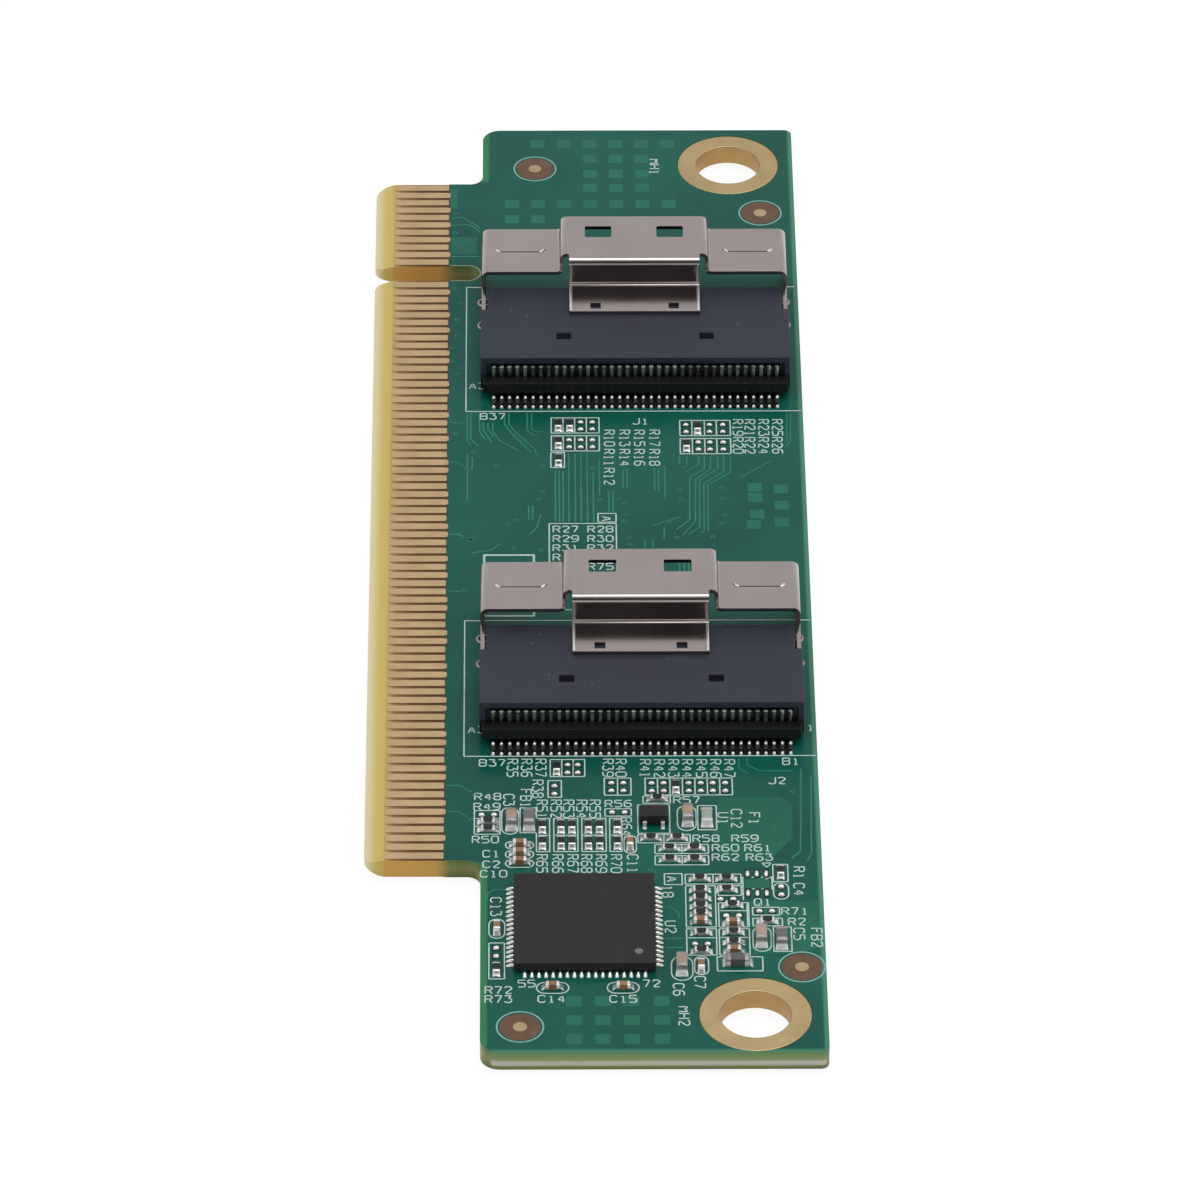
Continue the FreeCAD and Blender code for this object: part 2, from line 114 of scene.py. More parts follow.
def tone(red: int, green: int, blue: int) -> Tone:
    """Colour as written on screen, turned into scene-linear values.

    Args:
        red: Red from 0 to 255.
        green: Green from 0 to 255.
        blue: Blue from 0 to 255.

    Returns:
        Linear red, green, blue and an alpha of one.
    """
    def linear(value: int) -> float:
        """One channel on the linear scale."""
        share = value / 255
        return share / 12.92 if share <= 0.04045 else ((share + 0.055) / 1.055) ** 2.4
    return linear(red), linear(green), linear(blue), 1.0


def card_point(x: float, y: float, z: float = COAT_TOP) -> Vector:
    """Place on the card, from layout millimetres to the frame's metres."""
    return Vector((x - CARD_MIDDLE[0], y - CARD_MIDDLE[1], z)) * MM


def put(name: str, data: bpy.types.ID) -> Piece:
    """Put a new object into the scene.

    Args:
        name: Name of the object.
        data: Its mesh, lamp or camera.

    Returns:
        The object.
    """
    made = bpy.data.objects.new(name, data)
    bpy.context.scene.collection.objects.link(made)
    return made


def raw_mesh(name: str, points: Sequence[Any], lines: Sequence[Any] = (),
             faces: Sequence[Any] = ()) -> Mesh:
    """Mesh from points in metres.

    Args:
        name: Name of the mesh.
        points: Its points.
        lines: Pairs of points that lines join.
        faces: Points of each face.

    Returns:
        The mesh.
    """
    mesh = bpy.data.meshes.new(name)
    mesh.from_pydata(points, lines, faces)
    return mesh


class NodeBench:
    """Adds and links the nodes of one tree."""

    def __init__(self, tree: Tree) -> None:
        """Start on a tree."""
        self.tree = tree

    @classmethod
    def emptied(cls, owner: bpy.types.Material | bpy.types.World) -> "NodeBench":
        """Start on the emptied tree of a material or a world.

        Args:
            owner: The material or world.

        Returns:
            The bench.
        """
        owner.use_nodes = True
        owner.node_tree.nodes.clear()
        return cls(owner.node_tree)

    def add(self, kind: str, inputs: dict[Any, Any] | None = None, **settings: Any) -> bpy.types.Node:
        """Add one node.

        Args:
            kind: Node type.
            inputs: Values or sockets for its inputs, by name or number.
            **settings: Properties of the node.

        Returns:
            The new node.
        """
        node = self.tree.nodes.new(kind)
        for name, value in settings.items():
            setattr(node, name, value)
        for key, value in (inputs or {}).items():
            if isinstance(value, Socket):
                self.tree.links.new(value, node.inputs[key])
            else:
                node.inputs[key].default_value = value
        return node

    def socket(self, name: str, kind: str, default: Any = None, output: bool = False) -> None:
        """Add a named socket to the tree's interface.

        Args:
            name: Name of the socket.
            kind: Socket type.
            default: Value where nothing is linked.
            output: True for an output.
        """
        way = "OUTPUT" if output else "INPUT"
        made = self.tree.interface.new_socket(name, in_out=way, socket_type=kind)
        if default is not None:
            made.default_value = default

    def blend(self, share: Any, first: Any, second: Any) -> Socket:
        """Mix of two colours, with the share of the second."""
        return self.add("ShaderNodeMix", {0: share, 6: first, 7: second}, data_type="RGBA").outputs[2]

    def ramp(self, share: Socket, bands: Bands) -> Socket:
        """Run through colours.

        Args:
            share: Place along the run.
            bands: Places with their colours.

        Returns:
            The colour at the place.
        """
        node = self.add("ShaderNodeValToRGB", {"Fac": share})
        stops = node.color_ramp.elements
        while len(stops) < len(bands):
            stops.new(0.5)
        for stop, (place, shade) in zip(stops, bands):
            stop.position = place
            stop.color = shade
        return node.outputs["Color"]

    def along(self, way: Way, start: float, end: float) -> Socket:
        """Place along an axis of the card, as a share of a range.

        Args:
            way: The axis.
            start: Layout place where the share is nought, in millimetres.
            end: Layout place where it is one.

        Returns:
            The share, kept between nought and one.
        """
        axis, middle = way.value
        reach = {"Axis": axis, "Low": (start - middle) * MM, "High": (end - middle) * MM}
        return self.add("ShaderNodeGroup", reach, node_tree=ShaderEffects.axis_share()).outputs["Share"]

    def either(self, first: Any, second: Any) -> Socket:
        """Greater of two masks."""
        return self.add("ShaderNodeMath", {0: first, 1: second}, operation="MAXIMUM").outputs[0]

    def both(self, first: Any, second: Any) -> Socket:
        """Product of two masks."""
        return self.add("ShaderNodeMath", {0: first, 1: second}, operation="MULTIPLY").outputs[0]


class ShaderEffects:
    """Node groups that several finishes share, each built once."""

    @staticmethod
    def start(name: str, inputs: dict[str, Any], output: str) -> tuple[NodeBench, Any, Socket]:
        """Start a group.

        Args:
            name: Name of the group.
            inputs: Names of its inputs with their defaults, where a tuple makes a vector.
            output: Name of its output value.

        Returns:
            The group's bench, its inputs and the place on the object.
        """
        bench = NodeBench(bpy.data.node_groups.new(name, "ShaderNodeTree"))
        for label, value in inputs.items():
            kind = "NodeSocketVector" if isinstance(value, tuple) else "NodeSocketFloat"
            bench.socket(label, kind, value)
        bench.socket(output, "NodeSocketFloat", output=True)
        given = bench.add("NodeGroupInput")
        place = bench.add("ShaderNodeTexCoord")
        return bench, given.outputs, place.outputs["Object"]

    @staticmethod
    @cache
    def patches() -> Tree:
        """Soft uneven patches, as a mask.

        Returns:
            The node group.
        """
        bench, given, place = ShaderEffects.start("soft_patches", {"Scale": 300.0}, "Mask")
        noise = bench.add("ShaderNodeTexNoise", {
            "Vector": place, "Scale": given["Scale"], "Detail": 4.0, "Roughness": 0.6})
        middle = {"Value": noise.outputs["Fac"], "From Min": 0.32, "From Max": 0.68}
        mask = bench.add("ShaderNodeMapRange", middle)
        bench.add("NodeGroupOutput", {"Mask": mask.outputs["Result"]})
        return bench.tree

    @staticmethod
    @cache
    def grain() -> Tree:
        """Fine moulded or plated grain, as a height.

        Returns:
            The node group.
        """
        inputs = {"Scale": 5000.0, "Stretch": FULL_SIZE}
        bench, given, place = ShaderEffects.start("fine_grain", inputs, "Height")
        pulled = bench.add("ShaderNodeVectorMath", {0: place, 1: given["Stretch"]}, operation="MULTIPLY")
        noise = bench.add("ShaderNodeTexNoise", {
            "Vector": pulled.outputs[0], "Scale": given["Scale"], "Detail": 3.0, "Roughness": 0.65})
        bench.add("NodeGroupOutput", {"Height": noise.outputs["Fac"]})
        return bench.tree

    @staticmethod
    @cache
    def specks() -> Tree:
        """Scattered dust specks, as a mask.

        Returns:
            The node group.
        """
        bench, given, place = ShaderEffects.start("dust_specks", {"Scale": 700.0, "Size": 0.08}, "Mask")
        cells = bench.add("ShaderNodeTexVoronoi", {"Vector": place, "Scale": given["Scale"]})
        spot = bench.add("ShaderNodeMapRange", {
            "Value": cells.outputs["Distance"], "From Min": given["Size"], "From Max": 0.0})
        bench.add("NodeGroupOutput", {"Mask": spot.outputs["Result"]})
        return bench.tree

    @staticmethod
    @cache
    def axis_share() -> Tree:
        """Place along a direction, as a share of a range in metres.

        Returns:
            The node group.
        """
        inputs = {"Axis": (0.0, 0.0, 1.0), "Low": 0.0, "High": COAT_TOP * MM}
        bench, given, place = ShaderEffects.start("axis_share", inputs, "Share")
        run = bench.add("ShaderNodeVectorMath", {0: place, 1: given["Axis"]}, operation="DOT_PRODUCT")
        share = bench.add("ShaderNodeMapRange", {
            "Value": run.outputs["Value"], "From Min": given["Low"], "From Max": given["High"]})
        bench.add("NodeGroupOutput", {"Share": share.outputs["Result"]})
        return bench.tree


@dataclass(frozen=True)
class Finish:
    """A finish with uneven colour, uneven gloss and a fine grain.

    Attributes:
        name: Name of the material.
        dark: Darker colour.
        light: Lighter colour.
        metallic: One for bare metal.
        roughness: Middle roughness.
        spread: How far the roughness varies.
        patch_scale: Patches a metre.
        grain_scale: Grains a metre.
        grain_depth: Height of the grain in metres.
        stretch: Pull of the grain along each axis.
        dust: Share of dust specks that shows.
        specular: Level of the plain reflection.
        dust_tone: Colour of the dust.
    """

    name: str
    dark: Tone
    light: Tone
    metallic: float = 0.0
    roughness: float = 0.5
    spread: float = 0.08
    patch_scale: float = 900.0
    grain_scale: float = 6000.0
    grain_depth: float = 0.000004
    stretch: Place = FULL_SIZE
    dust: float = 0.0
    specular: float = 0.35
    dust_tone: ClassVar[Tone] = tone(205, 205, 200)

    def colour(self, bench: NodeBench, mask: Socket) -> Socket:
        """Colour that varies with the patches.

        Args:
            bench: Bench of the material.
            mask: Patch mask.

        Returns:
            The colour socket.
        """
        plain = bench.blend(mask, self.dark, self.light)
        if self.dust <= 0:
            return plain
        specks = bench.add("ShaderNodeGroup", node_tree=ShaderEffects.specks())
        return bench.blend(bench.both(specks.outputs["Mask"], self.dust), plain, self.dust_tone)

    def material(self) -> bpy.types.Material:
        """Build the material once.

        Returns:
            The material.
        """
        known = bpy.data.materials.get(self.name)
        if known:
            return known
        made = bpy.data.materials.new(self.name)
        made.diffuse_color = self.light
        bench = NodeBench.emptied(made)
        patch = bench.add("ShaderNodeGroup", {"Scale": self.patch_scale}, node_tree=ShaderEffects.patches())
        grain = bench.add("ShaderNodeGroup", {"Scale": self.grain_scale, "Stretch": self.stretch},
                          node_tree=ShaderEffects.grain())
        rough = bench.add("ShaderNodeMapRange", {
            "Value": patch.outputs["Mask"], "To Min": self.roughness - self.spread,
            "To Max": self.roughness + self.spread})
        bump = bench.add("ShaderNodeBump", {
            "Height": grain.outputs["Height"], "Strength": 1.0, "Distance": self.grain_depth})
        shader = bench.add("ShaderNodeBsdfPrincipled", {
            "Base Color": self.colour(bench, patch.outputs["Mask"]), "Roughness": rough.outputs["Result"],
            "Normal": bump.outputs["Normal"], "Metallic": self.metallic, "Specular IOR Level": self.specular})
        bench.add("ShaderNodeOutputMaterial", {"Surface": shader.outputs["BSDF"]})
        return made


@dataclass(frozen=True)
class BoardFinish(Finish):
    """The board's coat, with bare laminate at the tongue and at the cut edges.

    The pairs are the layout places, in millimetres, where a change starts and ends.

    Attributes:
        left_rim: Colour of the coat along the left edge.
        right_rim: Colour of the coat along the right and the near edge.
        tongue: Shares across the tongue with their colours, from its tip.
        tongue_wall: Colour of the tongue's walls.
        walls: Shares of the height with the colours of the other walls.
        near_wall: The same for the near edge.
        left_fade: Change to the left rim.
        shoulders: Where the left rim starts beyond each end of the tongue.
        right_fade: Change to the right rim.
        near_fade: Change to the rim of the near edge.
        near_start: Change to the near edge's wall.
        wall_fade: Change to the tongue's walls.
        tongue_span: Tip and root of the tongue.
        tongue_start: Change to the tongue's bare faces.
        bevel: Change to the bevel at the tip.
        tongue_faces: Heights at which the tongue's bare faces start, above and below.
        coat_faces: Heights at which the coat starts, above and below.
    """

    left_rim: Tone = tone(48, 126, 82)
    right_rim: Tone = tone(72, 136, 112)
    tongue: Bands = (
        (0.0, tone(226, 216, 182)), (0.07, tone(222, 204, 148)), (0.14, tone(208, 187, 108)),
        (0.24, tone(203, 180, 98)), (0.29, tone(188, 154, 98)), (0.36, tone(146, 112, 70)),
        (0.6, tone(106, 76, 44)), (1.0, tone(84, 58, 34)))
    tongue_wall: Tone = tone(212, 164, 84)
    walls: Bands = ((0.0, tone(94, 108, 56)), (0.5, tone(138, 138, 82)), (0.9, tone(96, 126, 72)))
    near_wall: Bands = (
        (0.0, tone(100, 102, 58)), (0.18, tone(132, 136, 84)), (0.25, tone(190, 189, 174)),
        (0.44, tone(192, 191, 178)), (0.52, tone(142, 156, 106)), (0.9, tone(104, 140, 90)))
    left_fade: Point = (0.56, 0.4)
    shoulders: tuple[Point, Point] = ((12.2, 12.5), (-72.2, -72.5))
    right_fade: Point = (24.01, 24.21)
    near_fade: Point = (-92.8, -93.15)
    near_start: Point = (-93.0, -93.1)
    wall_fade: Point = (-2.2, -3.2)
    tongue_span: Point = (-8.35, -2.65)
    tongue_start: Point = (-2.5, -2.6)
    bevel: Point = (-6.9, -6.98)
    tongue_faces: tuple[Point, Point] = ((1.53, 1.545), (0.07, 0.055))
    coat_faces: tuple[Point, Point] = ((1.58, 1.59), (0.02, 0.01))

    def colour(self, bench: NodeBench, mask: Socket) -> Socket:
        """Coat on the faces, laminate at the tongue and the walls.

        Args:
            bench: Bench of the material.
            mask: Patch mask.

        Returns:
            The colour socket.
        """
        right = bench.along(Way.ACROSS, *self.right_fade)
        rims = bench.either(right, bench.along(Way.ALONG, *self.near_fade))
        face = bench.blend(rims, super().colour(bench, mask), self.right_rim)
        beyond = bench.either(*(bench.along(Way.ALONG, *fade) for fade in self.shoulders))
        left = bench.both(bench.along(Way.ACROSS, *self.left_fade), beyond)
        face = bench.blend(left, face, self.left_rim)
        height = bench.along(Way.UP, 0.0, COAT_TOP)
        near = bench.along(Way.ALONG, *self.near_start)
        wall = bench.blend(near, bench.ramp(height, self.walls), bench.ramp(height, self.near_wall))
        wall = bench.blend(bench.along(Way.ACROSS, *self.wall_fade), wall, self.tongue_wall)
        level = bench.either(*(bench.along(Way.UP, *fade) for fade in self.tongue_faces))
        level = bench.both(level, bench.along(Way.ACROSS, *self.tongue_start))
        bare = bench.either(level, bench.along(Way.ACROSS, *self.bevel))
        laminate = bench.ramp(bench.along(Way.ACROSS, *self.tongue_span), self.tongue)
        coated = bench.either(*(bench.along(Way.UP, *fade) for fade in self.coat_faces))
        return bench.blend(coated, bench.blend(bare, wall, laminate), face)


@dataclass(frozen=True)
class TieredFinish(Finish):
    """A finish that changes its colour below a height.

    Attributes:
        below: Colour lower down.
        change: Start and end of the change above the underside, in millimetres.
    """

    below: Tone = tone(20, 20, 22)
    change: Point = (1.4, 1.5)

    def colour(self, bench: NodeBench, mask: Socket) -> Socket:
        """Lower colour, then the patches."""
        return bench.blend(bench.along(Way.UP, *self.change), self.below, super().colour(bench, mask))


COAT = BoardFinish("green_coat", tone(12, 80, 69), tone(18, 99, 85), roughness=0.24, spread=0.05,
                   patch_scale=55.0, grain_scale=900.0, grain_depth=0.000008, dust=0.06, specular=0.16)
COVERED_COPPER = Finish("coat_over_copper", tone(28, 105, 85), tone(36, 117, 95), roughness=0.34,
                        patch_scale=160.0, grain_scale=1500.0, grain_depth=0.000006, specular=0.16)
COVERED_TRACE = replace(COVERED_COPPER, name="coat_over_trace", dark=tone(38, 122, 99),
                        light=tone(48, 136, 110))
COVERED_POUR = replace(COVERED_COPPER, name="coat_over_pour", dark=tone(26, 98, 80), light=tone(34, 112, 91),
                       patch_scale=120.0)
BARE_LAMINATE = Finish("bare_laminate", tone(96, 68, 48), tone(114, 84, 62), roughness=0.6,
                       grain_scale=4000.0, grain_depth=0.000008)
NOTCH_RIM = Finish("notch_rim_laminate", tone(138, 150, 108), tone(166, 168, 128), roughness=0.6)
# Painted shade: a dark laminate colour for the shadow between the edge contacts' ends.
ROOT_SHADE = Finish("root_laminate", tone(58, 52, 30), tone(74, 64, 38), roughness=0.6)
GOLD = Finish("matte_gold", tone(194, 167, 127), tone(206, 179, 139), metallic=1.0, roughness=0.44,
              patch_scale=500.0, grain_scale=9000.0)
# Painted shade: the darker amber below 1.42 mm stands for the shade down the hole's barrel.
RING_GOLD = TieredFinish("ring_gold", tone(184, 161, 117), tone(194, 171, 127), metallic=1.0, roughness=0.42,
                         patch_scale=420.0, grain_scale=7000.0, grain_depth=0.000005,
                         below=tone(178, 142, 92), change=(1.42, 1.55))
STEEL = Finish("satin_steel", tone(166, 157, 155), tone(172, 163, 161), metallic=1.0, roughness=0.19,
               spread=0.02, patch_scale=240.0, grain_scale=5200.0, grain_depth=0.0000005,
               stretch=(0.25, 1.0, 1.0))
# Painted shade: the near-black below 3.2 mm stands for the shade on the housing's lower faces; the specks are
# dust.
HOUSING = TieredFinish("moulded_black", tone(42, 44, 57), tone(50, 53, 67), specular=0.3, patch_scale=260.0,
                       grain_scale=7000.0, grain_depth=0.00001, dust=0.2, below=tone(19, 21, 22),
                       change=(3.2, 3.5))
# Painted shade: a flat black for the ribs between the socket feet and for the plates on the pocket floors.
SHADE_BLACK = Finish("comb_black", tone(14, 15, 17), tone(20, 21, 24), roughness=0.6, specular=0.2)
TIN = Finish("bright_tin", tone(226, 226, 223), tone(244, 244, 241), metallic=1.0, roughness=0.3, spread=0.06,
             patch_scale=1500.0, grain_scale=5000.0)
# Painted shade: the darker colour below 2.2 mm stands for the shade in the rear pocket and under the ledge.
CONTACT = TieredFinish("plated_contact", tone(112, 118, 112), tone(206, 212, 206), metallic=1.0,
                       roughness=0.34, below=tone(64, 68, 62), change=(2.2, 2.5))
# Painted highlight: the near-white band below 1.9 mm stands for the highlight on the solder at a terminal's
# foot.
TERMINAL = TieredFinish("dull_terminal", tone(146, 144, 142), tone(180, 178, 176), metallic=1.0,
                        roughness=0.46, patch_scale=1500.0, grain_scale=5000.0,
                        below=tone(244, 244, 240), change=(1.9, 2.1))
# Painted shade: the dark land under a bare pad stands for the pad's dark reflection and shade.
PAD_SHADE = Finish("dark_land", tone(20, 34, 31), tone(28, 44, 40), patch_scale=1800.0, specular=0.2)
CHIP = Finish("chip_compound", tone(40, 38, 39), tone(48, 46, 47), roughness=0.55, patch_scale=400.0,
              grain_scale=9000.0, grain_depth=0.00001, dust=0.04, specular=0.18)
CHIP_MARK = Finish("chip_dot", tone(104, 103, 104), tone(124, 123, 122), roughness=0.7, patch_scale=2500.0)
GLAZE = Finish("resistor_black", tone(18, 18, 20), tone(30, 29, 32), roughness=0.4, patch_scale=1500.0)
ALUMINA = Finish("white_ceramic", tone(150, 150, 146), tone(178, 177, 172), roughness=0.6, patch_scale=1500.0)
BROWN_CERAMIC = Finish("brown_ceramic", tone(136, 99, 70), tone(162, 121, 90), roughness=0.45)
TAUPE_CERAMIC = Finish("taupe_ceramic", tone(160, 136, 118), tone(182, 156, 140), roughness=0.45)
DARK_CERAMIC = Finish("dark_ceramic", tone(44, 40, 40), tone(62, 57, 56))
FERRITE = Finish("grey_ferrite", tone(98, 95, 100), tone(120, 116, 121))
FUSE_BODY = Finish("pale_fuse", tone(146, 158, 148), tone(176, 186, 176), roughness=0.55)
INK = Finish("white_ink", tone(190, 215, 209), tone(216, 231, 227), roughness=0.6, patch_scale=1800.0,
             grain_scale=9000.0, grain_depth=0.000006)
PALE_RING = Finish("ring_ink", tone(122, 170, 160), tone(140, 186, 176), roughness=0.6, patch_scale=1800.0)
FIDUCIAL_GOLD = Finish("dot_gold", tone(176, 154, 120), tone(190, 168, 136), metallic=1.0, roughness=0.4,
                       patch_scale=350.0)
VIA_LAND = Finish("via_land", tone(32, 112, 92), tone(42, 124, 103), roughness=0.36, patch_scale=2000.0,
                  specular=0.16)
VIA_HOLE = Finish("via_plug", tone(14, 44, 38), tone(22, 58, 50), roughness=0.4, patch_scale=2000.0)


class MeshShop:
    """Mesh work that all the sub-assemblies share.

    Attributes:
        merge: Distance in metres within which two corners are one.
        flat: Angle in radians under which two faces are one.
        sharp: Angle over which an edge is rounded.
        flowing: Angle over which an edge stays sharp on solder.
        folded: The same on a softened copy.
        upright: Least upward share of an upright edge.
        sheet: Greatest length in metres of an edge through a shell's sheet.
        roof: Height in metres above which the relief notches lie.
    """

    merge: ClassVar[float] = 1e-7
    flat: ClassVar[float] = 0.01
    sharp: ClassVar[float] = 0.6
    flowing: ClassVar[float] = math.radians(70)
    folded: ClassVar[float] = math.radians(60)
    upright: ClassVar[float] = 0.99
    sheet: ClassVar[float] = 0.00036
    roof: ClassVar[float] = 0.0068

    @staticmethod
    def from_parts(name: str, parts: Iterable[Shell], smooth: bool = False) -> Piece:
        """Join closed shells into one object.

        Args:
            name: Name of the object.
            parts: Points and faces of each shell, in metres.
            smooth: True for flowing surfaces such as solder.

        Returns:
            The object, linked to the scene.
        """
        points: list[Vector] = []
        faces: list[tuple[int, ...]] = []
        for shell_points, shell_faces in parts:
            start = len(points)
            points.extend(shell_points)
            faces.extend(tuple(start + index for index in face) for face in shell_faces)
        mesh = raw_mesh(name, points, faces=faces)
        shop = bmesh.new()
        shop.from_mesh(mesh)
        bmesh.ops.recalc_face_normals(shop, faces=shop.faces)
        shop.to_mesh(mesh)
        shop.free()
        if smooth:
            mesh.shade_smooth()
            mesh.set_sharp_from_angle(angle=MeshShop.flowing)
        mesh.update()
        return put(name, mesh)

    @staticmethod
    def walls(count: int, rings: int, closed: bool) -> list[tuple[int, ...]]:
        """Faces between rings that follow one another.

        Args:
            count: Points in each ring.
            rings: Number of rings.
            closed: True to join the last ring to the first.

        Returns:
            The faces.
        """
        faces: list[tuple[int, ...]] = []
        for level in range(rings if closed else rings - 1):
            low, high = level * count, (level + 1) % rings * count
            for index in range(count):
                turn = (index + 1) % count
                faces.append((low + index, low + turn, high + turn, high + index))
        return faces

    @staticmethod
    def loft(rings: Sequence[Sequence[Vector]]) -> Shell:
        """Closed shell through rings with the same number of points.

        Args:
            rings: Rings in order, in metres.

        Returns:
            Points and faces of the shell.
        """
        count = len(rings[0])
        points = [point for ring in rings for point in ring]
        foot = tuple(range(count))[::-1]
        top = tuple(range(len(points) - count, len(points)))
        return points, [foot, *MeshShop.walls(count, len(rings), False), top]

    @staticmethod
    def ring(half_x: float, half_y: float, z: float, power: float, count: int) -> list[Vector]:
        """Level superellipse ring in millimetres.

        Args:
            half_x: Half width.
            half_y: Half length.
            z: Height.
            power: Two for an ellipse, more for a rounded rectangle.
            count: Number of points.

        Returns:
            The ring's points in metres.
        """
        made = []
        for index in range(count):
            angle = 2 * math.pi * (index + 0.5) / count
            cosine, sine = math.cos(angle), math.sin(angle)
            x = half_x * math.copysign(abs(cosine) ** (2 / power), cosine)
            y = half_y * math.copysign(abs(sine) ** (2 / power), sine)
            made.append(Vector((x, y, z)) * MM)
        return made

    @staticmethod
    def stack(levels: Sequence[Level], count: int, smooth: bool = False) -> Piece:
        """Source piece through rings of a half width, half length, height and power, in millimetres."""
        rings = [MeshShop.ring(*level, count) for level in levels]
        return MeshShop.from_parts("source", [MeshShop.loft(rings)], smooth)

    @staticmethod
    def plate(half_x: float, half_y: float, top: float, power: float = 2.0, count: int = 32,
              foot: float = -SINK) -> Piece:
        """Source plate from its foot to its top, in millimetres, with a ring's power and count."""
        return MeshShop.stack([(half_x, half_y, z, power) for z in (foot, top)], count)

    @staticmethod
    def block(size: Place, edge: float) -> Piece:
        """Source block with a softened top edge, standing on z = 0, in millimetres.

        Args:
            size: Width, length and height.
            edge: Radius of the top edge.

        Returns:
            The source piece.
        """
        width, length, height = size
        power, soft = 9.0, 0.3 * edge
        insets = ((0.0, 0.0), (height - edge, 0.0), (height - soft, soft), (height, edge))
        levels = [(width / 2 - inset, length / 2 - inset, z, power) for z, inset in insets]
        return MeshShop.stack(levels, count=20)

    @staticmethod
    def hoop(section: Sequence[Point], count: int, smooth: bool = False) -> Piece:
        """Source ring with one section all round, given as radii and heights in millimetres."""
        rings = [MeshShop.ring(radius, radius, up, power=2.0, count=count) for radius, up in section]
        points = [point for ring in rings for point in ring]
        return MeshShop.from_parts("source", [(points, MeshShop.walls(count, len(section), True))], smooth)

    @staticmethod
    def arch(run: float, half: float, rise: float, shoulder: float) -> list[Vector]:
        """Upright domed section across x, in millimetres.

        Args:
            run: Place along x.
            half: Half its width.
            rise: Height of its crown.
            shoulder: Share of the height at its sides.

        Returns:
            The section's points in metres.
        """
        haunch = rise * (shoulder + 1) / 2
        outline = ((-1.0, -SINK), (1.0, -SINK), (1.0, rise * shoulder), (0.86, haunch), (0.5, rise * 0.97),
                   (0.0, rise), (-0.5, rise * 0.97), (-0.86, haunch), (-1.0, rise * shoulder))
        return [Vector((run, across * half, up)) * MM for across, up in outline]

    @staticmethod
    def freeze(piece: Piece) -> None:
        """Keep what the modifiers make as a plain mesh, and remove them.

        Args:
            piece: The piece.
        """
        bpy.context.view_layer.update()
        ready = piece.evaluated_get(bpy.context.evaluated_depsgraph_get())
        piece.data = bpy.data.meshes.new_from_object(ready)
        piece.data.name = piece.name
        piece.modifiers.clear()

    @staticmethod
    def softened(node: str, name: str, width: float, corners: float = 0.0) -> Piece:
        """Copy of a CAD node with its sharp edges rounded.

        Args:
            node: CAD node.
            name: Name of the copy.
            width: Width of the rounding in millimetres.
            corners: Radius for the short upright corners of relief notches, or nought.

        Returns:
            The copy, which stands for the node.
        """
        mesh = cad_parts[node].data.copy()
        shop = bmesh.new()
        shop.from_mesh(mesh)
        bmesh.ops.remove_doubles(shop, verts=shop.verts, dist=MeshShop.merge)
        bmesh.ops.dissolve_limit(shop, angle_limit=MeshShop.flat, verts=shop.verts, edges=shop.edges)
        if corners > 0:
            inner = [edge for edge in shop.edges if MeshShop.is_notch_corner(edge)]
            bmesh.ops.bevel(shop, geom=inner, offset=corners * MM, segments=6, profile=0.5, affect="EDGES",
                            clamp_overlap=True)
        hard = [edge for edge in shop.edges if edge.calc_face_angle(0.0) > MeshShop.sharp]
        bmesh.ops.bevel(shop, geom=hard, offset=width * MM, segments=2, profile=0.6, affect="EDGES",
                        clamp_overlap=True)
        bmesh.ops.recalc_face_normals(shop, faces=shop.faces)
        shop.to_mesh(mesh)
        shop.free()
        mesh.shade_smooth()
        mesh.set_sharp_from_angle(angle=MeshShop.folded)
        made = put(name, mesh)
        level = made.modifiers.new("level", "WEIGHTED_NORMAL")
        level.weight = 100
        level.keep_sharp = True
        MeshShop.freeze(made)
        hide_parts(node)
        return made

    @staticmethod
    def is_notch_corner(edge: bmesh.types.BMEdge) -> bool:
        """Tell an upright concave edge of sheet thickness high on a shell.

        Args:
            edge: The edge.

        Returns:
            True for the corner of a relief notch.
        """
        first, second = edge.verts
        upright = abs((first.co - second.co).normalized().z) > MeshShop.upright
        thin = edge.calc_length() < MeshShop.sheet
        return upright and thin and first.co.z > MeshShop.roof and not edge.is_convex

    @staticmethod
    def solid_boxes(node: str) -> list[tuple[Vector, Vector]]:
        """Lowest and highest corner of every solid in a CAD node.

        Args:
            node: CAD node.

        Returns:
            One pair of corners for each solid, in metres.
        """
        shop = bmesh.new()
        shop.from_mesh(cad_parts[node].data)
        bmesh.ops.remove_doubles(shop, verts=shop.verts, dist=MeshShop.merge)
        left = set(shop.verts)
        boxes = []
        while left:
            reached = [left.pop()]
            for vertex in reached:
                for edge in vertex.link_edges:
                    other = edge.other_vert(vertex)
                    if other in left:
                        left.remove(other)
                        reached.append(other)
            low = Vector([min(vertex.co[axis] for vertex in reached) for axis in range(3)])
            high = Vector([max(vertex.co[axis] for vertex in reached) for axis in range(3)])
            boxes.append((low, high))
        shop.free()
        return sorted(boxes, key=lambda box: tuple(box[0]))

    @staticmethod
    def dress(piece: Piece, finish: Finish, slot: str) -> Piece:
        """Give a new piece its finish and let it ride on the card.

        Args:
            piece: The piece.
            finish: Its finish.
            slot: The record's slot that it follows; not used.

        Returns:
            The piece.
        """
        piece.data.materials.clear()
        piece.data.materials.append(finish.material())
        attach(piece, "root")
        LOG.info("%s: %d faces, %s", piece.name, len(piece.data.polygons), finish.name)
        return piece

    @staticmethod
    def repaint(node: str, finish: Finish) -> None:
        """Give a CAD node a better material.

        Args:
            node: CAD node.
            finish: Its finish.
        """
        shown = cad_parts[node]
        if not shown.material_slots:
            shown.data.materials.append(finish.material())
        for held in shown.material_slots:
            held.material = finish.material()
        LOG.info("%s: %s", node, finish.name)


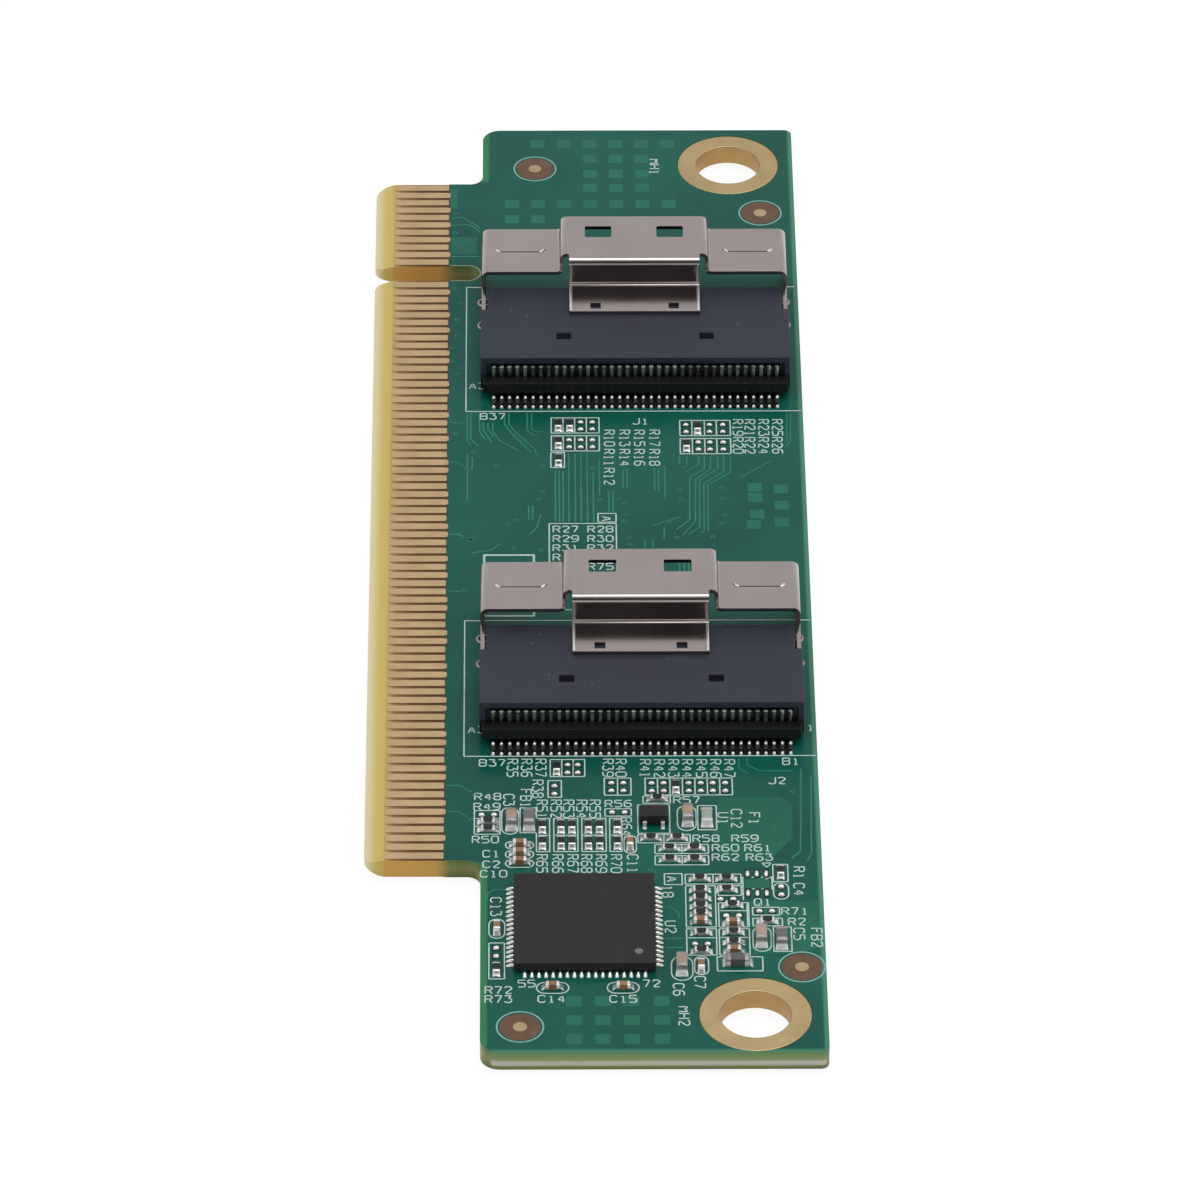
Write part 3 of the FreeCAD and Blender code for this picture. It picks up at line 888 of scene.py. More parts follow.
class NodeTrees:
    """Geometry trees for what repeats or follows a path, each built once.

    Attributes:
        section: Inputs of a swept strip with their kinds and defaults.
    """

    section: ClassVar[dict[str, tuple[str, Any]]] = {
        "Width": ("NodeSocketFloat", 0.0002), "Thickness": ("NodeSocketFloat", 0.00002),
        "Corner": ("NodeSocketFloat", 0.0001)}

    @staticmethod
    def start(name: str, inputs: dict[str, tuple[str, Any]]) -> tuple[NodeBench, Any]:
        """Start a tree that takes a geometry and a finish.

        Args:
            name: Name of the tree.
            inputs: Names of its other inputs with their kinds and defaults.

        Returns:
            The tree's bench and its inputs.
        """
        bench = NodeBench(bpy.data.node_groups.new(name, "GeometryNodeTree"))
        bench.socket("Geometry", "NodeSocketGeometry")
        for label, (kind, value) in inputs.items():
            bench.socket(label, kind, value)
        bench.socket("Finish", "NodeSocketMaterial")
        bench.socket("Geometry", "NodeSocketGeometry", output=True)
        return bench, bench.add("NodeGroupInput").outputs

    @staticmethod
    def close(bench: NodeBench, given: Any, shape: Socket) -> Tree:
        """End a tree in plain geometry with its finish.

        Args:
            bench: Bench of the tree.
            given: The tree's inputs.
            shape: What the tree has made.

        Returns:
            The tree.
        """
        real = bench.add("GeometryNodeRealizeInstances", {"Geometry": shape})
        dressed = bench.add("GeometryNodeSetMaterial", {
            "Geometry": real.outputs["Geometry"], "Material": given["Finish"]})
        bench.add("NodeGroupOutput", {"Geometry": dressed.outputs["Geometry"]})
        return bench.tree

    @staticmethod
    def sweep(bench: NodeBench, given: Any, steps: int, facing: Facing) -> Socket:
        """Sweep a flat section along every line of the given mesh.

        Args:
            bench: Bench of the tree.
            given: The tree's inputs.
            steps: Points on each rounded bend.
            facing: How the strip lies.

        Returns:
            The swept mesh.
        """
        lines = bench.add("GeometryNodeMeshToCurve", {"Mesh": given["Geometry"]})
        bent = bench.add("GeometryNodeFilletCurve", {
            "Curve": lines.outputs["Curve"], "Count": steps, "Radius": given["Corner"], "Limit Radius": True},
            mode="POLY")
        turned = bench.add("GeometryNodeSetCurveNormal", {"Curve": bent.outputs["Curve"]}, mode=facing.value)
        if facing is Facing.SIDEWAYS:
            turned.inputs["Normal"].default_value = (1.0, 0.0, 0.0)
        section = bench.add("GeometryNodeCurvePrimitiveQuadrilateral", {
            "Width": given["Width"], "Height": given["Thickness"]}, mode="RECTANGLE")
        swept = bench.add("GeometryNodeCurveToMesh", {
            "Curve": turned.outputs["Curve"], "Profile Curve": section.outputs["Curve"], "Fill Caps": True})
        return swept.outputs["Mesh"]

    @staticmethod
    @cache
    def ribbon() -> Tree:
        """Flat strip along every line of a mesh."""
        bench, given = NodeTrees.start("ribbon", NodeTrees.section)
        return NodeTrees.close(bench, given, NodeTrees.sweep(bench, given, steps=3, facing=Facing.LEVEL))

    @staticmethod
    @cache
    def scatter() -> Tree:
        """One piece on every point, turned and sized by the point's attributes.

        Returns:
            The tree.
        """
        bench, given = NodeTrees.start("scatter", {"Piece": ("NodeSocketObject", None)})
        piece = bench.add("GeometryNodeObjectInfo", {"Object": given["Piece"]})
        turn = bench.add("GeometryNodeInputNamedAttribute", {"Name": "turn"}, data_type="FLOAT")
        size = bench.add("GeometryNodeInputNamedAttribute", {"Name": "size"}, data_type="FLOAT_VECTOR")
        angle = bench.add("ShaderNodeCombineXYZ", {"Z": turn.outputs["Attribute"]})
        spin = bench.add("FunctionNodeEulerToRotation", {0: angle.outputs[0]})
        copies = bench.add("GeometryNodeInstanceOnPoints", {
            "Points": given["Geometry"], "Instance": piece.outputs["Geometry"],
            "Rotation": spin.outputs[0], "Scale": size.outputs["Attribute"]})
        return NodeTrees.close(bench, given, copies.outputs["Instances"])

    @staticmethod
    @cache
    def contact_row() -> Tree:
        """Row of bent strips that all follow one path.

        Returns:
            The tree.
        """
        row = {"Count": ("NodeSocketInt", 37), "Pitch": ("NodeSocketFloat", 0.0006)}
        bench, given = NodeTrees.start("contact_row", {**row, **NodeTrees.section})
        strip = NodeTrees.sweep(bench, given, steps=5, facing=Facing.SIDEWAYS)
        step = bench.add("ShaderNodeCombineXYZ", {"X": given["Pitch"]})
        line = bench.add("GeometryNodeMeshLine", {"Count": given["Count"], "Offset": step.outputs[0]},
                         mode="OFFSET", count_mode="TOTAL")
        copies = bench.add("GeometryNodeInstanceOnPoints", {
            "Points": line.outputs["Mesh"], "Instance": strip})
        return NodeTrees.close(bench, given, copies.outputs["Instances"])

    @staticmethod
    def grow(name: str, mesh: Mesh, tree: Tree, values: dict[str, Any],
             finish: Finish, slot: str) -> Piece:
        """Run a tree on a mesh, keep the result as a plain mesh and dress it.

        Args:
            name: Name of the piece.
            mesh: Points or lines that the tree starts from.
            tree: The tree.
            values: Value of each input, by name.
            finish: Finish of the piece.
            slot: The record's slot that it follows.

        Returns:
            The finished piece.
        """
        piece = put(name, mesh)
        modifier = piece.modifiers.new("grow", "NODES")
        modifier.node_group = tree
        inputs = {item.name: item.identifier for item in tree.interface.items_tree if item.in_out == "INPUT"}
        for label, value in {**values, "Finish": finish.material()}.items():
            modifier[inputs[label]] = value
        MeshShop.freeze(piece)
        return MeshShop.dress(piece, finish, slot)

    @staticmethod
    def strips(name: str, paths: Sequence[Sequence[Point]], width: float, layer: Layer, finish: Finish,
               corner: float = 0.0, closed: bool = False) -> None:
        """Lay flat strips on the coat along paths in layout millimetres.

        Args:
            name: Name of the piece.
            paths: Points of each path.
            width: Width of the strip.
            layer: Layer that sets its height.
            finish: Its finish.
            corner: Radius at the bends.
            closed: True to join each path's ends.
        """
        thickness = layer.value + SINK
        middle = COAT_TOP + layer.value - thickness / 2
        points: list[Vector] = []
        lines: list[tuple[int, int]] = []
        for path in paths:
            start = len(points)
            points.extend(card_point(x, y, middle) for x, y in path)
            lines.extend((index, index + 1) for index in range(start, len(points) - 1))
            if closed:
                lines.append((len(points) - 1, start))
        sizes = {"Width": width * MM, "Thickness": thickness * MM, "Corner": corner * MM}
        NodeTrees.grow(name, raw_mesh(name, points, lines), NodeTrees.ribbon(), sizes, finish, "board_coat")

    @staticmethod
    def copies(name: str, source: Piece, places: Sequence[Sequence[float]], finish: Finish,
               slot: str, sizes: Sequence[Place] | None = None, up: float = 0.0) -> Piece:
        """Copies of a source piece at places on the board.

        Args:
            name: Name of the piece.
            source: Piece at the origin, which is removed afterwards.
            places: Layout x and y, and the turn in radians where a copy is turned.
            finish: Finish of the copies.
            slot: The record's slot that they follow.
            sizes: Scale of each copy, or none for full size.
            up: Height of the copies' feet above the coat in millimetres.

        Returns:
            The finished piece.
        """
        mesh = raw_mesh(name, [card_point(place[0], place[1], COAT_TOP + up) for place in places])
        turns = mesh.attributes.new("turn", "FLOAT", "POINT")
        scales = mesh.attributes.new("size", "FLOAT_VECTOR", "POINT")
        for index, place in enumerate(places):
            turns.data[index].value = place[2] if len(place) > 2 else 0.0
            scales.data[index].vector = sizes[index] if sizes else FULL_SIZE
        piece = NodeTrees.grow(name, mesh, NodeTrees.scatter(), {"Piece": source}, finish, slot)
        bpy.data.objects.remove(source)
        return piece


# Strokes of each character on a grid four wide and six high.
STROKES: dict[str, tuple[Points, ...]] = {
    "0": (((0, 1), (0, 5), (1, 6), (3, 6), (4, 5), (4, 1), (3, 0), (1, 0), (0, 1)),),
    "1": (((1, 5), (2, 6), (2, 0)), ((1, 0), (3, 0))),
    "2": (((0, 5), (1, 6), (3, 6), (4, 5), (4, 4), (0, 0), (4, 0)),),
    "3": (((0, 6), (4, 6), (2, 3.6), (3, 3.6), (4, 2.6), (4, 1), (3, 0), (1, 0), (0, 1)),),
    "4": (((3, 0), (3, 6), (0, 2), (4, 2)),),
    "5": (((4, 6), (0, 6), (0, 3.5), (3, 3.5), (4, 2.5), (4, 1), (3, 0), (0, 0)),),
    "6": (((4, 6), (1.5, 6), (0, 4.5), (0, 1), (1, 0), (3, 0), (4, 1), (4, 2.5), (3, 3.5), (0, 3.5)),),
    "7": (((0, 6), (4, 6), (1.5, 0)),),
    "8": (((1, 3.2), (0, 4.2), (0, 5), (1, 6), (3, 6), (4, 5), (4, 4.2), (3, 3.2), (1, 3.2)),
          ((1, 3.2), (0, 2.2), (0, 1), (1, 0), (3, 0), (4, 1), (4, 2.2), (3, 3.2))),
    "9": (((4, 2.5), (1, 2.5), (0, 3.5), (0, 5), (1, 6), (3, 6), (4, 5), (4, 1.5), (2.5, 0), (0, 0)),),
    "A": (((0, 0), (2, 6), (4, 0)), ((0.7, 2), (3.3, 2))),
    "B": (((0, 0), (0, 6), (3, 6), (4, 5.2), (4, 4), (3, 3.2), (0, 3.2)),
          ((3, 3.2), (4, 2.4), (4, 0.8), (3, 0), (0, 0))),
    "C": (((4, 5), (3, 6), (1, 6), (0, 5), (0, 1), (1, 0), (3, 0), (4, 1)),),
    "F": (((0, 0), (0, 6), (4, 6)), ((0, 3.2), (3, 3.2))),
    "H": (((0, 0), (0, 6)), ((4, 0), (4, 6)), ((0, 3), (4, 3))),
    "J": (((4, 6), (4, 1), (3, 0), (1, 0), (0, 1)),),
    "M": (((0, 0), (0, 6), (2, 3), (4, 6), (4, 0)),),
    "Q": (((0, 1), (0, 5), (1, 6), (3, 6), (4, 5), (4, 1), (3, 0), (1, 0), (0, 1)), ((2.5, 1.5), (4, 0))),
    "R": (((0, 0), (0, 6), (3, 6), (4, 5), (4, 4), (3, 3), (0, 3)), ((2, 3), (4, 0))),
    "U": (((0, 6), (0, 1), (1, 0), (3, 0), (4, 1), (4, 6)),),
}


@dataclass
class BoardInk:
    """White print on the coat: outlines, plain part numbers and marks.

    Attributes:
        line: Width of an outline in millimetres.
        corner: Radius at an outline's corners.
        stroke: Width of a letter's stroke.
        bend: Radius at a stroke's bends.
        height: Height of a letter.
        letter: Width of a letter.
        advance: Step from letter to letter.
        grid: Width and height of the grid that the strokes are drawn on.
        squeeze: Share of the full length for labels that read each way.
        banks: Outlines with the layout x of the lines that divide them.
        open_lines: Outlines that are left open, and short marks.
        ladders: Outlines with the layout y of the lines that divide them.
        pills: Round-ended outlines.
        across: Labels that read along x.
        along: Labels that read down the card.
    """

    line: float = 0.095
    corner: float = 0.05
    stroke: float = 0.1
    bend: float = 0.07
    height: float = 0.75
    letter: float = 0.56
    advance: float = 0.78
    grid: tuple[int, int] = (4, 6)
    squeeze: ClassVar[dict[Reading, float]] = {Reading.ACROSS: 0.88, Reading.ALONG: 0.95}
    banks: tuple[tuple[Box, tuple[float, ...]], ...] = (
        ((5.26, -20.85, 8.9, -18.91), (6.16, 7.04, 7.93)),
        ((5.26, -23.12, 8.9, -21.19), (6.16, 7.04, 7.93)), ((5.22, -25.22, 6.24, -23.3), ()),
        ((15.03, -21.22, 18.86, -19.27), (15.95, 16.9, 17.81)),
        ((15.03, -23.52, 18.86, -21.59), (15.95, 16.9, 17.81)), ((5.03, -62.51, 7.53, -60.53), (5.87, 6.7)),
        ((4.86, -64.9, 5.83, -62.97), ()), ((8.93, -64.67, 10.86, -62.7), (9.89,)),
        ((11.88, -64.67, 18.18, -62.72), (12.78, 13.68, 14.58, 15.48, 16.38, 17.28)),
        ((11.71, -65.6, 13.67, -64.78), ()), ((8.95, -67.08, 10.85, -66.24), ()),
        ((11.31, -69.05, 13.6, -65.8), ()), ((15.62, -68.67, 16.97, -65.9), ()),
        ((11.29, -70.13, 15.04, -69.2), (13.16,)), ((12.5, -71.35, 16.33, -70.34), (14.43,)),
        ((12.5, -72.63, 16.33, -71.6), (14.43,)), ((2.84, -68.94, 4.0, -66.11), ()),
        ((13.13, -74.86, 14.4, -73.62), ()), ((14.62, -74.8, 18.6, -73.7), (16.6,)),
        ((14.62, -79.6, 16.74, -75.0), ()), ((16.94, -76.08, 18.6, -75.0), ()),
        ((16.74, -84.45, 19.95, -82.9), ()), ((19.35, -78.29, 21.27, -77.43), ()),
        ((19.36, -79.47, 21.44, -78.64), ()), ((20.78, -82.32, 22.05, -79.6), ()),
        ((20.9, -74.55, 21.96, -72.61), ()), ((0.62, -85.25, 1.72, -81.3), ()),
        ((5.06, -42.79, 10.08, -32.21), ()), ((8.73, -32.05, 10.08, -30.98), ()),
        ((0.17, -43.56, 3.94, -36.06), ()), ((0.24, -43.48, 3.87, -36.14), ()),
    )
    open_lines: tuple[Points, ...] = (
        ((0.05, -1.9), (-1.22, -1.9), (-1.22, -18.07), (24.3, -18.07)), ((23.4, -1.9), (24.2, -1.9)),
        ((24.3, -44.08), (-1.22, -44.08), (-1.22, -60.14), (24.3, -60.14)),
        ((18.72, -74.0), (18.72, -76.6)), ((20.81, -73.97), (20.81, -75.42)),
        ((19.36, -74.06), (19.58, -74.06)), ((20.05, -74.06), (20.25, -74.06)),
        ((20.35, -74.25), (20.75, -74.05)), ((19.4, -75.35), (19.6, -75.35)),
        ((20.05, -75.35), (20.2, -75.35)),
        ((20.14, -72.45), (20.8, -72.45), (20.47, -72.93), (20.14, -72.45)),
        ((18.97, -77.0), (18.97, -79.5)),
    )
    ladders: tuple[tuple[Box, tuple[float, ...]], ...] = (
        ((4.01, -71.1, 4.96, -67.32), (-69.25,)), ((5.26, -71.1, 6.98, -67.32), (-69.25,)),
        ((7.28, -71.1, 9.01, -67.32), (-69.25,)), ((9.28, -71.1, 10.14, -67.32), (-69.25,)),
        ((-0.45, -69.1, 1.4, -66.4), (-67.3, -68.2)), ((16.94, -79.6, 19.08, -76.9), (-77.79,)),
        ((14.62, -82.7, 16.74, -79.8), (-80.79,)), ((16.94, -82.7, 19.08, -79.8), (-80.76,)),
    )
    pills: tuple[Box, ...] = (
        (14.16, -68.75, 15.5, -65.9), (1.52, -69.11, 2.72, -66.03), (10.3, -71.3, 11.17, -69.28),
        (1.79, -70.79, 3.81, -69.93), (1.79, -71.84, 3.81, -70.96), (1.79, -72.86, 3.81, -72.0),
        (20.89, -76.52, 21.97, -74.7), (19.32, -82.31, 20.6, -79.6), (13.5, -85.47, 15.0, -82.85),
        (15.14, -84.85, 16.12, -82.85), (0.62, -80.8, 1.74, -78.66), (3.97, -86.85, 6.25, -85.65),
        (8.95, -86.85, 11.2, -85.65),
    )
    across: tuple[tuple[str, float, float], ...] = (
        ("B37", 0.82, -18.7), ("A37", -0.03, -14.78), ("J1", 12.05, -19.36), ("B37", 0.84, -60.9),
        ("A37", 0.02, -57.03), ("1", 24.01, -56.88), ("B1", 22.49, -60.81), ("J2", 21.41, -63.04),
        ("R27", 6.3, -32.92), ("R28", 8.9, -32.93), ("R29", 6.3, -34.09), ("R30", 8.89, -34.1),
        ("R31", 6.29, -35.23), ("R32", 8.88, -35.24), ("R33", 6.29, -36.37), ("R34", 8.88, -36.38),
        ("R74", 6.28, -37.5), ("R75", 8.87, -37.52), ("R48", 0.51, -64.8), ("R49", 0.46, -65.94),
        ("R50", 0.35, -69.71), ("R56", 9.92, -65.65), ("R57", 14.86, -65.24), ("R58", 16.18, -69.64),
        ("R59", 18.97, -69.65), ("R60", 17.55, -70.72), ("R61", 19.88, -70.73), ("R62", 17.53, -71.79),
        ("R63", 19.96, -71.8), ("R71", 22.36, -77.85), ("R72", 1.29, -86.48), ("R73", 1.29, -87.46),
        ("R2", 22.47, -79.03), ("C1", 0.77, -71.32), ("C2", 0.77, -72.52), ("C10", 0.94, -73.58),
        ("C14", 5.02, -87.45), ("C15", 10.07, -87.47), ("55", 3.28, -85.77), ("72", 12.05, -85.8),
        ("Q1", 20.09, -76.84),
    )
    along: tuple[tuple[str, float, float], ...] = (
        ("R10", 9.67, -21.5), ("R11", 9.64, -23.95), ("R12", 9.62, -26.34), ("R13", 10.83, -21.5),
        ("R14", 10.81, -23.96), ("R15", 11.95, -21.51), ("R16", 11.92, -23.96), ("R17", 13.1, -21.51),
        ("R18", 13.07, -23.97), ("R19", 19.45, -20.2), ("R20", 19.42, -22.47), ("R21", 20.36, -20.2),
        ("R22", 20.31, -22.48), ("R23", 21.4, -20.21), ("R24", 21.35, -22.48), ("R25", 22.44, -20.21),
        ("R26", 22.39, -22.48), ("R35", 2.3, -61.49), ("R36", 3.32, -61.49), ("R37", 4.35, -61.49),
        ("R38", 4.12, -63.92), ("R39", 9.22, -61.51), ("R40", 10.16, -61.52), ("R41", 11.92, -61.58),
        ("R42", 12.94, -61.59), ("R43", 13.96, -61.59), ("R44", 14.97, -61.59), ("R45", 15.99, -61.6),
        ("R46", 17.01, -61.6), ("R47", 18.02, -61.61), ("R51", 4.42, -66.23), ("R52", 5.44, -66.23),
        ("R53", 6.34, -66.23), ("R54", 7.29, -66.24), ("R55", 8.24, -66.24), ("R64", 10.47, -68.27),
        ("R65", 4.4, -72.45), ("R66", 5.53, -72.46), ("R67", 6.61, -72.46), ("R68", 7.59, -72.47),
        ("R69", 8.64, -72.47), ("R70", 9.72, -72.48), ("R1", 22.77, -73.54), ("C3", 2.04, -65.19),
        ("C11", 10.9, -72.48), ("C12", 18.42, -67.37), ("C13", 1.12, -77.28), ("C4", 22.72, -75.4),
        ("C5", 22.6, -80.4), ("C6", 13.98, -86.46), ("C7", 15.49, -85.69), ("FB1", 3.27, -65.0),
        ("U1", 17.46, -67.36), ("F1", 19.7, -67.37), ("18", 13.35, -75.62), ("U2", 13.5, -79.57),
        ("FB2", 23.84, -80.79), ("MH2", 14.32, -89.35), ("A", 13.69, -74.22), ("A", 9.39, -31.62),
        ("MH1", 13.55, 14.35),
    )

    def letters(self, text: str, x: float, y: float, reading: Reading) -> list[list[Point]]:
        """Strokes of one label.

        Args:
            text: The label.
            x: Middle of the label.
            y: Middle of the label.
            reading: Direction that it reads in.

        Returns:
            Paths in layout millimetres.
        """
        share = self.squeeze[reading]
        length = (len(text) - 1) * self.advance + self.letter
        cosine, sine = math.cos(reading.value), math.sin(reading.value)
        wide, high = self.grid
        paths = []
        for index, character in enumerate(text):
            for stroke in STROKES[character]:
                path = []
                for grid_x, grid_y in stroke:
                    run = share * (index * self.advance + grid_x * self.letter / wide - length / 2)
                    rise = grid_y * self.height / high - self.height / 2
                    path.append((x + run * cosine - rise * sine, y + run * sine + rise * cosine))
                paths.append(path)
        return paths

    @staticmethod
    def pill(box: Box, steps: int = 9) -> list[Point]:
        """Outline with two round ends.

        Args:
            box: Low and high corner.
            steps: Points on each round end.

        Returns:
            The path in layout millimetres.
        """
        low_x, low_y, high_x, high_y = box
        radius = min(high_x - low_x, high_y - low_y) / 2
        upright = high_y - low_y > high_x - low_x
        first = (low_x + radius, low_y + radius)
        last = (high_x - radius, high_y - radius)
        start = math.pi if upright else math.pi / 2
        path = []
        for (x, y), turn in ((first, start), (last, start + math.pi)):
            for step in range(steps):
                angle = turn + math.pi * step / (steps - 1)
                path.append((x + radius * math.cos(angle), y + radius * math.sin(angle)))
        return path

    def dividers(self) -> list[list[Point]]:
        """Lines inside the outlines.

        Returns:
            Paths in layout millimetres.
        """
        gap = self.line
        paths = [[(x, low + gap), (x, high - gap)] for (_, low, _, high), cuts in self.banks for x in cuts]
        paths += [[(low + gap, y), (high - gap, y)] for (low, _, high, _), cuts in self.ladders for y in cuts]
        return paths

    def build(self) -> None:
        """Print the outlines, their dividers, the short marks and the labels."""
        squares = [[(low_x, low_y), (high_x, low_y), (high_x, high_y), (low_x, high_y)]
                   for (low_x, low_y, high_x, high_y), _ in self.banks + self.ladders]
        rounds = [self.pill(box) for box in self.pills]
        NodeTrees.strips("ink_outlines", squares, self.line, Layer.INK, INK, self.corner, True)
        NodeTrees.strips("ink_open_lines", self.open_lines, self.line, Layer.INK, INK, self.corner)
        NodeTrees.strips("ink_dividers", self.dividers(), self.line, Layer.FINE_INK, INK)
        NodeTrees.strips("ink_round_outlines", rounds, self.line, Layer.FINE_INK, INK, closed=True)
        words = []
        for labels, reading in ((self.across, Reading.ACROSS), (self.along, Reading.ALONG)):
            for text, x, y in labels:
                words.extend(self.letters(text, x, y, reading))
        NodeTrees.strips("ink_part_numbers", words, self.stroke, Layer.WORDS, INK, self.bend)


@dataclass
class BoardCopper:
    """Copper that shows through the coat, vias and fiducials.

    Attributes:
        far_columns: Columns of the far thieving squares.
        far_rows: Rows of the far thieving squares, with the first column and the one after the last.
        near_columns: Columns of the near thieving squares.
        near_rows: Rows of the near thieving squares.
        square: Side of a thieving square.
        loose_squares: Places of the squares by the plain long edge.
        trace: Width of a trace, and the radius at its bends.
        traces: Bent traces in layout millimetres.
        uprights: Straight traces down the card: layout x of each, and both ends.
        pours: Outlines of the larger copper areas.
        via: Radii of a via's land and of its plugged hole.
        vias: Places of the vias.
        root: Layout x where the edge contacts meet the coat.
        notch: Layout x of the key notch's end, and half its width.
        rim: Width of the bare line round the notch, its distance from the wall and its start past the root.
        first: Distance of each group's first edge contact from the notch's middle.
        pitch: Step from edge contact to edge contact.
        groups: Side of the notch, number of contacts and which of them run on under the coat as wide copper.
        gap: Half width and half length of the painted shade at the end between two contacts, and its distance
            from the root.
        neck: Half width and half length of a contact's end.
        fiducials: Places of the fiducials.
        fiducial_ring: Inner and outer radius of a fiducial's printed ring.
        fiducial_window: Radius of the bare window.
        fiducial_dot: Radius of the gold dot.
        land_edge: Rounding of the mounting holes' lands.
    """

    far_columns: tuple[float, ...] = (2.3, 4.34, 6.39, 8.43, 10.48, 12.53, 14.57)
    far_rows: tuple[tuple[float, int, int], ...] = (
        (17.52, 1, 7), (15.45, 3, 6), (13.39, 3, 6), (11.47, 3, 6), (9.29, 0, 7), (7.25, 0, 2))
    near_columns: tuple[float, ...] = (6.59, 8.62, 10.65, 12.76)
    near_rows: tuple[float, ...] = (-87.7, -89.77, -91.82)
    square: float = 1.1
    loose_squares: Points = (
        (20.57, -27.74), (20.6, -29.03), (20.68, -31.1), (20.4, -32.4), (22.53, -27.97), (22.53, -30.0),
        (22.5, -32.1),
    )
    trace: Point = (0.13, 0.25)
    traces: tuple[Points, ...] = (
        ((-1.1, -18.3), (-1.1, -21.8), (-0.81, -22.44)), ((-0.84, -18.3), (-0.84, -21.64), (-0.27, -22.45)),
        ((-0.18, -18.3), (-0.17, -20.66), (0.26, -21.64)), ((0.11, -19.5), (0.12, -20.5), (0.75, -21.97)),
        ((0.47, -19.5), (0.48, -20.34), (0.88, -21.32)),
        ((0.83, -19.5), (0.84, -20.67), (1.37, -21.81), (2.82, -23.11)),
        ((1.71, -18.3), (1.71, -19.7), (2.24, -20.84), (3.78, -23.35)),
        ((2.05, -18.3), (2.05, -19.7), (2.63, -20.84), (3.98, -22.79), (4.17, -23.59)),
        ((3.45, -18.3), (3.45, -20.52), (3.88, -21.09), (4.27, -21.09)),
        ((3.77, -18.3), (3.77, -20.19), (4.03, -20.64), (4.66, -20.64)),
        ((4.44, -31.11), (4.14, -32.69), (3.57, -33.64)), ((-0.72, -35.82), (0.71, -35.51), (1.38, -34.73)),
        ((14.95, -23.75), (14.93, -24.82)), ((15.5, -23.75), (15.48, -24.98), (15.15, -25.28)),
        ((16.41, -23.76), (16.4, -24.83), (15.33, -25.89)),
        ((16.83, -23.76), (16.8, -25.44), (15.68, -26.5), (15.6, -31.8), (14.58, -33.0)),
        ((17.29, -23.76), (17.26, -25.44), (16.1, -26.81), (16.02, -31.95), (15.03, -33.75)),
        ((17.84, -23.76), (17.81, -25.44), (16.42, -26.81), (16.34, -32.7), (15.48, -33.6)),
        ((18.29, -23.76), (18.26, -25.75), (16.72, -27.27), (16.66, -33.16), (16.39, -33.45)),
        ((18.8, -23.77), (18.76, -25.91), (17.02, -27.42), (16.95, -33.2)),
        ((14.97, -31.35), (12.77, -32.54)), ((13.68, -32.69), (13.66, -34.19)),
        ((23.47, -18.39), (23.38, -21.94), (23.0, -22.71)), ((23.19, -18.39), (23.1, -22.0)),
        ((21.87, -24.4), (19.54, -26.5)), ((-2.45, 7.36), (-1.68, 7.52), (-1.03, 6.96), (-0.19, 5.95)),
        ((-2.45, 6.4), (-1.03, 6.51), (-0.18, 5.5)), ((-2.47, 2.22), (-0.31, 2.21)),
        ((23.17, -61.67), (22.93, -71.14), (22.26, -71.92)), ((23.9, -62.4), (23.7, -71.4), (23.4, -72.2)),
        ((18.7, -60.4), (18.7, -61.6), (19.4, -62.2)),
        ((19.3, -60.4), (19.3, -61.2), (20.2, -61.9), (22.6, -61.9)), ((-2.45, -19.5), (-1.8, -19.5)),
        ((-2.45, -24.5), (-1.9, -24.5), (-1.4, -25.0)), ((-2.45, -33.5), (-1.7, -33.5), (-1.2, -34.0)),
        ((-2.45, -40.5), (-1.6, -40.5)), ((-2.45, -63.5), (-1.5, -63.5), (-0.6, -64.3)),
        ((-2.45, -66.5), (-1.6, -66.5), (-1.0, -67.1)),
        ((1.9, -75.35), (1.0, -75.35), (0.5, -75.85), (0.5, -76.7)), ((1.9, -77.85), (1.75, -77.85)),
        ((1.9, -81.35), (2.2, -81.35)), ((5.65, -74.1), (5.65, -73.4)), ((7.15, -74.1), (7.15, -73.4)),
        ((9.65, -74.1), (9.65, -73.4)), ((13.1, -77.35), (13.5, -77.35), (14.1, -78.0), (14.1, -78.6)),
        ((13.1, -80.85), (14.35, -80.85)), ((13.1, -81.85), (14.35, -81.85)),
    )
    uprights: tuple[tuple[tuple[float, ...], float, float], ...] = (
        ((5.55, 5.84, 6.13), -25.6, -32.0), ((6.56, 7.04, 7.48, 7.95), -23.4, -32.0), ((8.4,), -25.8, -32.0),
        ((8.87,), -24.0, -28.7), ((9.55, 9.87), -28.2, -30.8), ((10.66, 10.95), -25.4, -27.8),
        ((-1.08,), -23.4, -29.3), ((-0.72,), -23.9, -25.5), ((3.53, 3.82), -30.0, -31.74),
        ((13.03,), -25.3, -28.16), ((13.33,), -25.3, -28.3), ((13.8,), -25.0, -29.2),
        ((12.21, 12.8), -34.2, -35.2), ((12.5,), -60.4, -60.75), ((14.75, 15.1, 15.45), -36.4, -38.4),
    )
    pours: tuple[Points, ...] = (
        ((-2.47, 2.5), (-0.44, 2.5), (-0.44, 4.83), (-2.47, 4.83)),
        ((-2.5, 8.76), (-1.95, 8.76), (-1.95, 11.36), (-2.5, 11.36)),
        ((17.2, -64.95), (21.6, -64.95), (22.4, -65.75), (22.4, -69.6), (20.6, -72.2), (17.2, -72.2),
         (16.6, -69.0)), ((19.25, -76.7), (24.0, -76.7), (24.0, -81.8), (22.3, -82.6), (19.25, -82.6)),
        ((18.85, -74.15), (20.62, -74.15), (20.62, -75.35), (18.85, -75.35)),
    )
    via: Point = (0.21, 0.0945)
